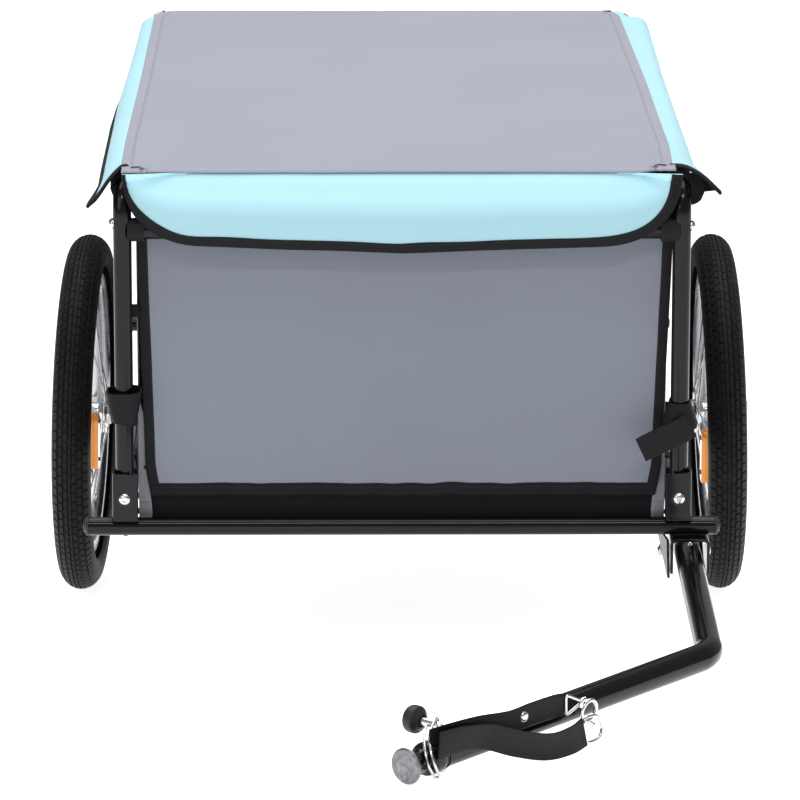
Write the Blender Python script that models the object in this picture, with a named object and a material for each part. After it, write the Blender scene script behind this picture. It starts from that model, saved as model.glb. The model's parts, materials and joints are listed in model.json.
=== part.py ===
"""Two-wheel bicycle cargo trailer, built as separate named pieces.

Lengths are written in millimetres and turned into metres by mm().
The trailer's own frame has its origin at the middle of the wheel axle, -Y
towards the bicycle and +Z up. It is tipped nose-down by STAND_TILT, because an
unhitched trailer stands on its two wheels and on the end of its tow arm.
"""
import math

import bmesh
import bpy
from mathutils import Quaternion, Vector

# Driving dimensions, millimetres and degrees.
STAND_TILT = 7.11
WHEEL_RADIUS = 200.0
WHEEL_X = {"left": 351.0, "right": 358.5}
WHEEL_LEAN = {"left": 1.0, "right": 1.4}
WHEEL_TOE = {"left": 2.8, "right": 0.8}
AXLE_Y = 368.7
FRONT_Y = -482.0
REAR_Y = 428.0
POST_X = 288.0
BAR_HALF_LENGTH = 326.0
TOP_TUBE_Z = 367.0
FRAME_TUBE_R = 9.5
WALL = 1.5
GAP = 0.3
COPE_DEPTH = 4.0
CUTTER_SIDES = 32
CUTTER_LENGTH = 60.0

# Feet of the side frames and the bolts.
FOOT_PIVOT_Z = 33.0
FOOT_TOP_Z = 59.0
FOOT_PLATE = 2.5
FOOT_HALF_WIDTH = 13.0
FOOT_HALF_DEPTH = 14.0
BOLT_R = 4.0
BOLT_HEAD_R = 6.8
TOP_BOLT_HEAD_R = 6.0
NUT_HEIGHT = 5.0
CAP_STEM = 14.0
POST_BOTTOM_Z = 14.0
POST_BEND_R = 40.0
TOP_BOLT_Z = 316.0
TOP_BOLT_R = 3.0

# Tow arm.
ARM_R = 14.0
ARM_X = 300.0
ARM_Z = -36.0
ARM_PIVOT_Y = -450.0
ARM_ELBOW_Y = -826.0
HITCH_X = -4.3
HITCH_Y = -1179.7
ARM_BEND_R = 55.0
ARM_WALL = 1.6
ARM_TAIL = 14.0
BRACKET_INNER = 17.5
BRACKET_PLATE = 3.0
BRACKET_FRONT_Y = -502.0
BRACKET_REAR_Y = -432.0
BRACKET_LOW_Z = -47.0

# Hitch end, in the frame of its own tube: +Y back along the arm from the front face.
DISC_R = 17.5
TUBE_START = 46.0
STEM_END = 84.0
STEM_R = 12.1
PIN_Y = 54.0
PIN_R = 4.0
PIN_TIP_Z = -17.5
PIN_HANDLE_Z = 33.0
PIN_HANDLE = 24.0
GRIP_R = 13.5
GRIP_LENGTH = 17.0
BAIL_WIRE_R = 1.25
BAIL_X = -10.0
STRAP_WIDTH = 28.0
TAB_WIDTH = 23.0

# Wheels.
TYRE_SECTION_R = 21.5
TYRE_WALL = 4.5
RIM_OUTER_R = 158.5
RIM_INNER_R = 143.0
RIM_HALF_WIDTH = 13.0
RIM_LIP = 1.5
BEAD_WIDTH = 3.5
REFLECTOR = (12.0, 20.0, 64.0)
REFLECTOR_R = 102.0
REFLECTOR_TURN = {"left": 11.0, "right": 22.0}
HUB_HALF_WIDTH = 30.0
HUB_FLANGE_R = 24.0
HUB_FLANGE_X = 22.0
HUB_SHELL_R = 12.0
HUB_END_R = 13.0
AXLE_R = 6.0
SPOKES_PER_SIDE = 10
WHEEL_SIDES = 36

# Fabric.
CLOTH = 2.0
ROOF_HALF_WIDTH = 276.0
ROOF_FRONT_Y = -492.0
ROOF_REAR_Y = 438.2
BAG_HALF_WIDTH = 272.0
BAG_FRONT_Y = -466.0
BAG_REAR_Y = 413.0
BAG_TOP_Z = 352.0
BAG_LIP_Z = 60.0
PANEL_Y = -470.0
PANEL_HALF_WIDTH = 266.0
PANEL_LOW_Z = 36.0
PANEL_TOP_Z = 356.0
FLAP_LOW_Z = 288.0
STRAP_Z = {"left": 130.0, "right": 106.0}
STRAP_HEIGHT = 28.0
FLAP_HALF_WIDTH = 287.0
FLAP_CORNER = 85.0
FLAP_RISE = 0.035
FLAP_COLUMNS = 17
EAR_LENGTH = 60.0

SIDES = {"left": -1, "right": 1}
ENDS = {"front": FRONT_Y, "rear": REAR_Y}

LOOKS = {
    "black_paint": ((0.012, 0.012, 0.014), 0.28, 0.0),
    "black_plastic": ((0.02, 0.02, 0.022), 0.5, 0.0),
    "zinc": ((0.78, 0.79, 0.82), 0.25, 1.0),
    "rim_alloy": ((0.8, 0.8, 0.82), 0.3, 1.0),
    "tyre": ((0.02, 0.02, 0.022), 0.85, 0.0),
    "amber": ((0.95, 0.35, 0.02), 0.2, 0.0),
    "webbing": ((0.018, 0.018, 0.02), 0.8, 0.0),
    "grey_fabric": ((0.24, 0.26, 0.3), 0.85, 0.0),
    "roof_fabric": ((0.42, 0.44, 0.52), 0.85, 0.0),
    "blue_fabric": ((0.55, 0.87, 0.93), 0.85, 0.0),
    "black_fabric": ((0.015, 0.015, 0.017), 0.85, 0.0),
}


def mm(*values):
    """Millimetres to metres: one number, or a vector of several."""
    if len(values) == 1:
        return values[0] / 1000.0
    return Vector(values) / 1000.0


def clear_scene():
    for item in list(bpy.data.objects):
        bpy.data.objects.remove(item, do_unlink=True)


def material(look):
    """The named Principled material, made once and shared."""
    if look in bpy.data.materials:
        return bpy.data.materials[look]
    colour, roughness, metallic = LOOKS[look]
    made = bpy.data.materials.new(look)
    made.use_nodes = True
    shader = made.node_tree.nodes["Principled BSDF"]
    shader.inputs["Base Color"].default_value = (*colour, 1.0)
    shader.inputs["Roughness"].default_value = roughness
    shader.inputs["Metallic"].default_value = metallic
    return made


def empty(name, location, parent=None, tilt=0.0, lean=0.0, turn=0.0):
    """A joint or frame: tilt is about X, lean about Y and turn about Z, in degrees."""
    made = bpy.data.objects.new(name, None)
    made.location = mm(*location)
    made.rotation_euler = (math.radians(tilt), math.radians(lean), math.radians(turn))
    made.parent = parent
    bpy.context.collection.objects.link(made)
    return made


def solid(name, shape, look, parent, at=(0.0, 0.0, 0.0), along=None):
    """Link a bmesh as an object; along turns its local Z to that direction."""
    bmesh.ops.recalc_face_normals(shape, faces=shape.faces)
    mesh = bpy.data.meshes.new(name)
    shape.to_mesh(mesh)
    shape.free()
    mesh.shade_smooth()
    mesh.set_sharp_from_angle(angle=math.radians(35.0))
    made = bpy.data.objects.new(name, mesh)
    made.data.materials.append(material(look))
    made.location = mm(*at)
    if along is not None:
        made.rotation_mode = "QUATERNION"
        made.rotation_quaternion = Vector(along).to_track_quat("Z", "Y")
    made.parent = parent
    bpy.context.collection.objects.link(made)
    return made


def cut(target, *cutters):
    for cutter in cutters:
        step = target.modifiers.new("cut_" + cutter.name, "BOOLEAN")
        step.operation = "DIFFERENCE"
        step.solver = "EXACT"
        step.object = cutter


def drill(name, radius, length, parent, at, along, sides=16):
    """A hidden cylinder centred on a point, used to cut holes and saddles."""
    profile = [(0.0, -length / 2), (radius, -length / 2), (radius, length / 2), (0.0, length / 2)]
    made = solid(name, turned(profile, sides), "black_plastic", parent, at, along)
    made.hide_render = True
    made.display_type = "WIRE"
    return made


# Shapes

def turned(profile, sides, closed=False):
    """Revolve (radius, height) points about Z; a zero radius makes a pole."""
    shape = bmesh.new()
    rings = []
    for radius, height in profile:
        if radius < 1e-6:
            rings.append([shape.verts.new(mm(0.0, 0.0, height))])
            continue
        turn = [2 * math.pi * k / sides for k in range(sides)]
        rings.append([shape.verts.new(mm(radius * math.cos(a), radius * math.sin(a), height))
                      for a in turn])
    pairs = list(zip(rings, rings[1:]))
    if closed:
        pairs.append((rings[-1], rings[0]))
    for low, high in pairs:
        for k in range(sides):
            corners = [low[k % len(low)], low[(k + 1) % len(low)],
                       high[(k + 1) % len(high)], high[k % len(high)]]
            corners = list(dict.fromkeys(corners))
            if len(corners) > 2:
                shape.faces.new(corners)
    return shape


def circle(radius, sides):
    return [(radius * math.cos(2 * math.pi * k / sides), radius * math.sin(2 * math.pi * k / sides))
            for k in range(sides)]


def rectangle(width, height):
    return [(-width / 2, -height / 2), (width / 2, -height / 2),
            (width / 2, height / 2), (-width / 2, height / 2)]


def swept(path, outline, up, bore=None):
    """Carry an outline along a path; up sets its second axis. bore makes it a hollow tube."""
    shape = bmesh.new()
    points = [Vector(p) for p in path]
    ups = [Vector(up)] * len(points) if isinstance(up, (tuple, Vector)) else [Vector(u) for u in up]
    loops = [outline] if bore is None else [outline, bore]
    walls = []
    for loop in loops:
        rings = []
        for k, point in enumerate(points):
            ahead = points[min(k + 1, len(points) - 1)] - points[max(k - 1, 0)]
            ahead.normalize()
            side = ahead.cross(ups[k]).normalized()
            lift = side.cross(ahead)
            rings.append([shape.verts.new((point + side * a + lift * b) / 1000.0) for a, b in loop])
        walls.append(rings)
        for low, high in zip(rings, rings[1:]):
            for k in range(len(loop)):
                nxt = (k + 1) % len(loop)
                shape.faces.new((low[k], low[nxt], high[nxt], high[k]))
    for end in (0, -1):
        if bore is None:
            shape.faces.new(walls[0][end])
            continue
        outer, inner = walls[0][end], walls[1][end]
        for k in range(len(outer)):
            nxt = (k + 1) % len(outer)
            shape.faces.new((outer[k], outer[nxt], inner[nxt], inner[k]))
    return shape


def tube(path, radius, up, wall=WALL, sides=12):
    return swept(path, circle(radius, sides), up, circle(radius - wall, sides))


def bent(corners, radius, steps=5):
    """Points along straight runs joined by arcs of the given centre-line radius."""
    points = [Vector(corners[0])]
    for before, corner, after in zip(corners, corners[1:], corners[2:]):
        corner = Vector(corner)
        arrive = (corner - Vector(before)).normalized()
        leave = (Vector(after) - corner).normalized()
        turn = arrive.angle(leave)
        reach = radius * math.tan(turn / 2)
        centre_way = (leave - arrive).normalized()
        centre = corner + centre_way * (radius / math.cos(turn / 2))
        start = corner - arrive * reach - centre
        axis = arrive.cross(leave).normalized()
        for k in range(steps + 1):
            spoke = start.copy()
            spoke.rotate(Quaternion(axis, turn * k / steps))
            points.append(centre + spoke)
    points.append(Vector(corners[-1]))
    return points


def prism(outline, low, high, upright=True):
    """Extrude a closed XY outline along Z, or an XZ outline along Y when not upright."""
    shape = bmesh.new()
    ends = []
    for height in (low, high):
        points = [(a, b, height) if upright else (a, height, b) for a, b in outline]
        ends.append([shape.verts.new(mm(*point)) for point in points])
    floor, roof = ends
    shape.faces.new(floor)
    shape.faces.new(roof)
    for k in range(len(outline)):
        nxt = (k + 1) % len(outline)
        shape.faces.new((floor[k], floor[nxt], roof[nxt], roof[k]))
    return shape


def block(low, high):
    outline = [(low[0], low[1]), (high[0], low[1]), (high[0], high[1]), (low[0], high[1])]
    return prism(outline, low[2], high[2])


def cloth_sheet(rows, thickness):
    """A closed thin solid from a grid of points and one thickness vector."""
    shape = bmesh.new()
    shift = Vector(thickness)
    faces = []
    for offset in (Vector((0.0, 0.0, 0.0)), shift):
        faces.append([[shape.verts.new((Vector(p) + offset) / 1000.0) for p in row] for row in rows])
    for grid in faces:
        for low, high in zip(grid, grid[1:]):
            for k in range(len(low) - 1):
                shape.faces.new((low[k], low[k + 1], high[k + 1], high[k]))
    near, far = faces
    rim_near = near[0] + [row[-1] for row in near[1:]] + near[-1][-2::-1]
    rim_near += [row[0] for row in near[-2:0:-1]]
    rim_far = far[0] + [row[-1] for row in far[1:]] + far[-1][-2::-1]
    rim_far += [row[0] for row in far[-2:0:-1]]
    for k in range(len(rim_near)):
        nxt = (k + 1) % len(rim_near)
        shape.faces.new((rim_near[k], rim_near[nxt], rim_far[nxt], rim_far[k]))
    return shape


def dome_bolt(name, at, along, shank_r, shank_length, nut, parent):
    """A round-headed bolt: head at the origin, shank along local -Z, optional nut at its end."""
    head_r = BOLT_HEAD_R if nut else TOP_BOLT_HEAD_R
    dome = [(0.0, 4.6), (head_r * 0.45, 4.2), (head_r * 0.8, 2.9), (head_r, 0.0), (shank_r, 0.0)]
    if nut:
        grip = shank_length - NUT_HEIGHT - 1.0
        dome += [(shank_r, -grip), (head_r * 0.95, -grip), (head_r * 0.95, -grip - NUT_HEIGHT),
                 (shank_r, -grip - NUT_HEIGHT)]
    dome += [(shank_r, -shank_length), (0.0, -shank_length)]
    return solid(name, turned(dome, 14), "zinc", parent, at, along)


# Base frame

def base_frame(body):
    saddles = []
    for end, y in ENDS.items():
        bar = [(-BAR_HALF_LENGTH, y, 0.0), (BAR_HALF_LENGTH, y, 0.0)]
        solid(end + "_crossbar", tube(bar, FRAME_TUBE_R, (0.0, 0.0, 1.0)), "black_paint", body)
        saddles.append(drill("saddle_" + end, FRAME_TUBE_R + GAP, 2 * POST_X + CUTTER_LENGTH, body,
                             (0.0, y, 0.0), (1.0, 0.0, 0.0), CUTTER_SIDES))
        for side, sign in SIDES.items():
            end_cap(side + "_" + end + "_cap", sign, y, body)
            foot(side, end, sign, y, body)
    rail_saddles = []
    for side, sign in SIDES.items():
        run = [(sign * POST_X, FRONT_Y + COPE_DEPTH, 0.0), (sign * POST_X, REAR_Y - COPE_DEPTH, 0.0)]
        rail = solid(side + "_base_rail", tube(run, FRAME_TUBE_R, (0.0, 0.0, 1.0)), "black_paint", body)
        cut(rail, *saddles)
        rail_saddles.append(drill("saddle_" + side, FRAME_TUBE_R + GAP, CUTTER_LENGTH, body,
                                  (sign * POST_X, 0.0, 0.0), (0.0, 1.0, 0.0), CUTTER_SIDES))
    across = [(COPE_DEPTH - POST_X, 0.0, 0.0), (POST_X - COPE_DEPTH, 0.0, 0.0)]
    middle = solid("axle_crosstube", tube(across, FRAME_TUBE_R, (0.0, 0.0, 1.0)), "black_paint", body)
    cut(middle, *rail_saddles)


def end_cap(name, sign, y, body):
    """A domed plug: its stem fills the tube's mouth."""
    stem_r = FRAME_TUBE_R - WALL - GAP
    profile = [(0.0, -CAP_STEM), (stem_r, -CAP_STEM), (stem_r, GAP), (FRAME_TUBE_R, GAP),
               (FRAME_TUBE_R, 3.0), (FRAME_TUBE_R * 0.86, 5.2), (FRAME_TUBE_R * 0.5, 6.3), (0.0, 6.6)]
    solid(name, turned(profile, 16), "black_plastic", body,
          (sign * BAR_HALF_LENGTH, y, 0.0), (sign, 0.0, 0.0))


def foot(side, end, sign, y, body):
    """A channel of sheet steel, open towards the middle, that holds the foot of a post."""
    outer, inner = sign * FOOT_HALF_WIDTH, -sign * FOOT_HALF_WIDTH
    web = sign * (FOOT_HALF_WIDTH - FOOT_PLATE)
    near, far = -FOOT_HALF_DEPTH, FOOT_HALF_DEPTH
    outline = [(outer, near), (outer, far), (inner, far), (inner, far - FOOT_PLATE),
               (web, far - FOOT_PLATE), (web, near + FOOT_PLATE), (inner, near + FOOT_PLATE), (inner, near)]
    at = (sign * POST_X, y, 0.0)
    bracket = solid(side + "_" + end + "_foot",
                    prism(outline, FRAME_TUBE_R + GAP, FOOT_TOP_Z), "black_paint", body, at)
    pivot = (sign * POST_X, y, FOOT_PIVOT_Z)
    hole = drill("foot_hole_" + side + end, BOLT_R + GAP, CUTTER_LENGTH, body, pivot, (0.0, 1.0, 0.0))
    cut(bracket, hole)
    outward = -1.0 if end == "front" else 1.0
    head = (pivot[0], y + outward * (FOOT_HALF_DEPTH + GAP), FOOT_PIVOT_Z)
    dome_bolt(side + "_" + end + "_foot_bolt", head, (0.0, outward, 0.0), BOLT_R,
              2 * FOOT_HALF_DEPTH + 2 * GAP + NUT_HEIGHT + 2.0, True, body)


# Side frames and the tubes between them

def side_frames(body):
    tube_saddles = []
    for side, sign in SIDES.items():
        x = sign * POST_X
        corners = [(x, FRONT_Y, POST_BOTTOM_Z), (x, FRONT_Y, TOP_TUBE_Z),
                   (x, REAR_Y, TOP_TUBE_Z), (x, REAR_Y, POST_BOTTOM_Z)]
        hoop = solid(side + "_side_frame", tube(bent(corners, POST_BEND_R), FRAME_TUBE_R, (1.0, 0.0, 0.0)),
                     "black_paint", body)
        cut(hoop, bpy.data.objects["foot_hole_" + side + "front"],
            bpy.data.objects["foot_hole_" + side + "rear"])
        for end, y in ENDS.items():
            at = (x, y, TOP_BOLT_Z)
            hole = drill("top_hole_" + side + end, TOP_BOLT_R + GAP, CUTTER_LENGTH, body, at, (1.0, 0.0, 0.0))
            cut(hoop, hole)
            tube_saddles.append(drill("post_saddle_" + side + end, FRAME_TUBE_R + GAP, CUTTER_LENGTH, body,
                                      at, (0.0, 0.0, 1.0), CUTTER_SIDES))
            head = (x + sign * (FRAME_TUBE_R + GAP), y, TOP_BOLT_Z)
            dome_bolt(side + "_" + end + "_top_bolt", head, (sign, 0.0, 0.0), TOP_BOLT_R,
                      2 * FRAME_TUBE_R + 18.0, False, body)
    for end, y in ENDS.items():
        run = [(COPE_DEPTH - POST_X, y, TOP_BOLT_Z), (POST_X - COPE_DEPTH, y, TOP_BOLT_Z)]
        top = solid(end + "_top_crosstube", tube(run, FRAME_TUBE_R, (0.0, 0.0, 1.0)), "black_paint", body)
        cut(top, *[s for s in tube_saddles if s.name.endswith(end)])


# Wheels

def wheel_axis(side, sign):
    """The way the axle points, to the right: both wheels lean in at the top and open at the front."""
    lean = math.radians(WHEEL_LEAN[side]) * sign
    toe = math.radians(WHEEL_TOE[side]) * sign
    return Vector((math.cos(toe) * math.cos(lean), math.sin(toe) * math.cos(lean), math.sin(lean)))


def axle_bracket(side, sign, body):
    """A welded flange and sleeve on the outer side of the base rail."""
    bore = AXLE_R + GAP
    profile = [(bore, 0.0), (22.0, 0.0), (22.0, 4.0), (12.0, 5.0), (12.0, 21.0), (bore, 21.0)]
    out = wheel_axis(side, sign) * sign
    centre = Vector((sign * WHEEL_X[side], 0.0, 0.0))
    start = POST_X + FRAME_TUBE_R + 4 * GAP - WHEEL_X[side]
    solid(side + "_axle_bracket", turned(profile, 24, closed=True), "black_paint", body,
          centre + out * start, out)
    length = HUB_HALF_WIDTH + 1.0 - start
    axle = [(0.0, 0.0), (AXLE_R, 0.0), (AXLE_R, length), (10.5, length), (10.5, length + 5.0),
            (6.5, length + 9.0), (0.0, length + 9.0)]
    solid(side + "_wheel_axle", turned(axle, 16), "zinc", body, centre + out * start, out)


def wheel(side, sign, centre):
    out = (sign, 0.0, 0.0)
    tyre_profile = tyre_section()
    solid(side + "_tyre", turned(tyre_profile, WHEEL_SIDES, closed=True), "tyre", centre, along=out)
    lip = RIM_OUTER_R
    well = RIM_INNER_R + 8.0
    half = RIM_HALF_WIDTH
    groove = half - RIM_LIP
    rim = [(RIM_INNER_R + 3.0, -half), (RIM_INNER_R, 3.0 - half), (RIM_INNER_R, half - 3.0),
           (RIM_INNER_R + 3.0, half), (lip, half), (lip, groove), (well, groove), (well, -groove),
           (lip, -groove), (lip, -half)]
    solid(side + "_rim", turned(rim, WHEEL_SIDES, closed=True), "rim_alloy", centre, along=out)
    solid(side + "_hub_and_spokes", hub_and_spokes(), "zinc", centre, along=out)
    high = [size / 2 for size in REFLECTOR]
    reflector = block([-size for size in high], high)
    turn = math.radians(REFLECTOR_TURN[side])
    at = (0.0, -REFLECTOR_R * math.cos(turn), -REFLECTOR_R * math.sin(turn))
    placed = solid(side + "_reflector", reflector, "amber", centre, at)
    placed.rotation_euler = (turn, 0.0, 0.0)


def tyre_section():
    """An open C: tread and side walls, ending in two beads inside the rim."""
    middle = WHEEL_RADIUS - TYRE_SECTION_R
    inner = TYRE_SECTION_R - TYRE_WALL
    sweep = [math.radians(a) for a in range(-129, 130, 43)]
    outside = [(middle + TYRE_SECTION_R * math.cos(a), TYRE_SECTION_R * math.sin(a)) for a in sweep]
    inside = [(middle + inner * math.cos(a), inner * math.sin(a)) for a in reversed(sweep)]
    outer = RIM_HALF_WIDTH - RIM_LIP - GAP
    inward = outer - BEAD_WIDTH
    foot_r = RIM_INNER_R + 9.0
    lip_r = RIM_OUTER_R + 0.8
    high = [(lip_r, outer), (foot_r, outer), (foot_r, inward), (lip_r + 2.0, inward)]
    low = [(lip_r + 2.0, -inward), (foot_r, -inward), (foot_r, -outer), (lip_r, -outer)]
    return outside + high + inside + low


def hub_and_spokes():
    """A turned hub shell whose flange faces are drawn out into spokes."""
    bore = AXLE_R + GAP
    half = HUB_HALF_WIDTH
    fx = HUB_FLANGE_X
    profile = [(bore, -half), (HUB_END_R, -half), (HUB_END_R, -fx - 1.5), (HUB_FLANGE_R, -fx - 1.5),
               (HUB_FLANGE_R, -fx + 1.5), (HUB_SHELL_R, -fx + 2.5), (HUB_SHELL_R, fx - 2.5),
               (HUB_FLANGE_R, fx - 1.5), (HUB_FLANGE_R, fx + 1.5), (HUB_END_R, fx + 1.5),
               (HUB_END_R, half), (bore, half)]
    sides = 4 * SPOKES_PER_SIDE
    shape = turned(profile, sides, closed=True)
    shape.faces.ensure_lookup_table()
    reach = RIM_INNER_R * math.cos(math.pi / WHEEL_SIDES) - 1.2
    for flange, shift in ((-1, 0), (1, 2)):
        band = [f for f in shape.faces
                if all(abs(math.hypot(v.co.x, v.co.y) * 1000.0 - HUB_FLANGE_R) < 0.01 for v in f.verts)
                and f.calc_center_median().z * flange > 0]
        band.sort(key=lambda f: math.atan2(f.calc_center_median().y, f.calc_center_median().x))
        for face in band[shift::4]:
            draw_spoke(shape, face, reach, flange)
    return shape


def draw_spoke(shape, face, reach, flange):
    middle = face.calc_center_median()
    heading = Vector((middle.x, middle.y, 0.0)).normalized()
    grown = bmesh.ops.extrude_discrete_faces(shape, faces=[face])["faces"][0]
    tip = heading * mm(reach) + Vector((0.0, 0.0, mm(flange * 4.0)))
    for vert in grown.verts:
        away = vert.co - middle
        away -= heading * away.dot(heading)
        vert.co = tip + away * 0.6


# Tow arm and hitch

def tow_bracket(body):
    """An upturned channel welded under the front crossbar; returns its bolt-hole cutter."""
    outer = BRACKET_INNER + BRACKET_PLATE
    top = -FRAME_TUBE_R - GAP
    web = top - BRACKET_PLATE
    outline = [(-outer, BRACKET_LOW_Z), (-outer, top - 2.0), (-outer + 2.0, top), (outer - 2.0, top),
               (outer, top - 2.0), (outer, BRACKET_LOW_Z), (BRACKET_INNER, BRACKET_LOW_Z),
               (BRACKET_INNER, web), (-BRACKET_INNER, web), (-BRACKET_INNER, BRACKET_LOW_Z)]
    bracket = solid("tow_bracket", prism(outline, BRACKET_FRONT_Y, BRACKET_REAR_Y, upright=False),
                    "black_paint", body, (ARM_X, 0.0, 0.0))
    pivot = (ARM_X, ARM_PIVOT_Y, ARM_Z)
    hole = drill("tow_hole", BOLT_R + GAP, CUTTER_LENGTH, body, pivot, (1.0, 0.0, 0.0))
    cut(bracket, hole)
    head = (ARM_X + outer + GAP, ARM_PIVOT_Y, ARM_Z)
    shank = 2 * outer + 2 * GAP + NUT_HEIGHT + 3.0
    dome_bolt("tow_pivot_bolt", head, (1.0, 0.0, 0.0), BOLT_R, shank, True, body)
    return hole


def tow_arm(body):
    """The bent arm, its hitch end and all that rides on it."""
    pivot_hole = tow_bracket(body)
    joint = empty("tow_arm_joint", (ARM_X, ARM_PIVOT_Y, ARM_Z), body)
    shift = Vector((ARM_X, ARM_PIVOT_Y, ARM_Z))
    elbow = Vector((ARM_X, ARM_ELBOW_Y, ARM_Z)) - shift
    nose = Vector((HITCH_X, HITCH_Y, ARM_Z)) - shift
    back = (elbow - nose).normalized()
    hitch = empty("hitch_frame", nose, joint, turn=-math.degrees(math.atan2(back.x, back.y)))
    pin_hole = drill("hitch_pin_hole", PIN_R + GAP, CUTTER_LENGTH, hitch, (0.0, PIN_Y, 0.0), (0.0, 0.0, 1.0))
    path = bent([Vector((0.0, ARM_TAIL, 0.0)), elbow, nose + back * TUBE_START], ARM_BEND_R)
    shape = tube(path, ARM_R, (0.0, 0.0, 1.0), wall=ARM_WALL, sides=16)
    arm = solid("tow_arm", shape, "black_paint", joint)
    cut(arm, pivot_hole, pin_hole)
    hitch_coupler(hitch, pin_hole)
    hitch_pin(hitch)
    safety_strap(hitch)


def hitch_coupler(hitch, pin_hole):
    """The spool that the bicycle's hitch grips, with its stem inside the arm."""
    profile = [(0.0, 0.0), (15.5, 0.0), (DISC_R, 1.2), (DISC_R, 3.4), (13.0, 6.5), (10.6, 11.0),
               (10.4, 18.0), (11.4, 23.0), (14.6, 26.0), (16.0, 31.0), (16.0, 40.0),
               (14.8, TUBE_START - GAP), (STEM_R, TUBE_START - GAP), (STEM_R, STEM_END), (0.0, STEM_END)]
    coupler = solid("hitch_coupler", turned(profile, 24), "black_paint", hitch, along=(0.0, 1.0, 0.0))
    cut(coupler, pin_hole)


def hitch_pin(hitch):
    """A bent steel pin with a moulded grip, and its retaining wire."""
    joint = empty("hitch_pin_joint", (0.0, PIN_Y, 0.0), hitch)
    path = bent([(0.0, 0.0, PIN_TIP_Z), (0.0, 0.0, PIN_HANDLE_Z), (-PIN_HANDLE, 0.0, PIN_HANDLE_Z)], 7.0, 4)
    solid("hitch_pin", swept(path, circle(PIN_R, 12), (0.0, 1.0, 0.0)), "zinc", joint)
    profile = [(0.0, 0.0), (7.0, 0.0), (GRIP_R, 5.0), (GRIP_R, 12.0), (GRIP_R * 0.8, GRIP_LENGTH - 1.5),
               (GRIP_R * 0.4, GRIP_LENGTH), (0.0, GRIP_LENGTH)]
    solid("pin_grip", turned(profile, 16), "black_plastic", joint,
          (-PIN_HANDLE - GAP, 0.0, PIN_HANDLE_Z), (-1.0, 0.0, 0.0))
    bail_joint = empty("pin_bail_joint", (BAIL_X, 0.0, PIN_HANDLE_Z), joint)
    route = [(-10.0, -5.8, 33.0), (-5.0, -8.0, 30.5), (2.0, -15.0, 25.0), (12.0, -21.5, 15.0),
             (18.8, -24.0, 2.0), (17.0, -19.0, -10.0), (9.5, -9.0, -18.0), (1.0, 0.5, -20.3),
             (3.0, 4.5, -20.2), (11.0, -3.5, -17.5), (18.0, -13.0, -9.5), (18.8, -18.0, 3.0),
             (13.0, -16.0, 16.0), (4.0, -10.5, 29.0), (-3.0, -4.0, 40.6), (-8.0, 2.5, 41.0),
             (-10.0, 5.9, 38.5), (-10.0, 5.9, 33.0)]
    shift = Vector((BAIL_X, 0.0, PIN_HANDLE_Z))
    wire = [p - shift for p in smooth_points(route, 2)]
    solid("pin_bail", swept(wire, circle(BAIL_WIRE_R, 6), turning_ups(wire)), "zinc", bail_joint)


def safety_strap(hitch):
    """Webbing along the arm, and the hook and rings that clip its two ends together."""
    route = [(18.5, 42.0, 17.0), (20.0, 64.0, 16.0), (22.0, 95.0, 10.0), (27.0, 133.0, -5.0),
             (31.0, 174.0, -17.0), (30.0, 210.0, -18.0), (26.0, 236.0, -17.0)]
    ribbon = rectangle(CLOTH, STRAP_WIDTH)
    solid("safety_strap", swept(smooth_points(route, 4), ribbon, (0.0, 0.0, 1.0)), "webbing", hitch)
    tab_route = [(17.5, 130.0, 14.0), (17.0, 162.0, 15.0), (16.5, 198.0, 14.0), (17.0, 214.0, 12.0)]
    tab = rectangle(CLOTH, TAB_WIDTH)
    solid("strap_tab", swept(smooth_points(tab_route, 3), tab, (0.0, 0.0, 1.0)), "webbing", hitch)
    stud = [(0.0, 2.4), (3.6, 1.8), (5.5, 0.0), (0.0, 0.0)]
    solid("strap_rivet", turned(stud, 14), "zinc", hitch, (18.7, 153.0, 15.0), (1.0, 0.0, 0.0))
    solid("tab_ring", ring(9.0, 1.5), "zinc", hitch, (20.0, 227.0, 12.0), (1.0, 0.3, 0.0))
    solid("strap_ring", ring(13.0, 1.7), "zinc", hitch, (25.0, 256.0, -22.0), (0.0, 0.35, 1.0))
    hook = [(24.0, 253.0, -16.0), (23.0, 248.0, -12.0), (22.0, 239.0, -6.0), (23.0, 235.5, 3.0),
            (23.0, 241.0, 10.5), (23.0, 250.0, 10.0), (23.0, 254.0, 2.0), (22.5, 251.0, -5.0)]
    wire = smooth_points(hook, 3)
    solid("snap_hook", swept(wire, circle(2.2, 8), turning_ups(wire)), "zinc", hitch)


def ring(radius, wire_r):
    section = circle(wire_r, 6)
    return turned([(radius + a, b) for a, b in section], 18, closed=True)


def smooth_points(points, steps):
    """Catmull-Rom points through a hand-chosen route."""
    points = [Vector(p) for p in points]
    padded = [points[0] * 2 - points[1]] + points + [points[-1] * 2 - points[-2]]
    out = []
    for p0, p1, p2, p3 in zip(padded, padded[1:], padded[2:], padded[3:]):
        for k in range(steps):
            t = k / steps
            out.append(0.5 * (2 * p1 + (p2 - p0) * t + (2 * p0 - 5 * p1 + 4 * p2 - p3) * t * t
                              + (3 * p1 - p0 - 3 * p2 + p3) * t ** 3))
    out.append(points[-1])
    return out


def turning_ups(points):
    """A second axis for each point of a route in space, turned no more than the route itself."""
    ways = [(points[min(k + 1, len(points) - 1)] - points[max(k - 1, 0)]).normalized()
            for k in range(len(points))]
    up = ways[0].orthogonal().normalized()
    ups = [up]
    for before, way in zip(ways, ways[1:]):
        up = up.copy()
        up.rotate(before.rotation_difference(way))
        ups.append(up)
    return ups


# Fabric

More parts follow.
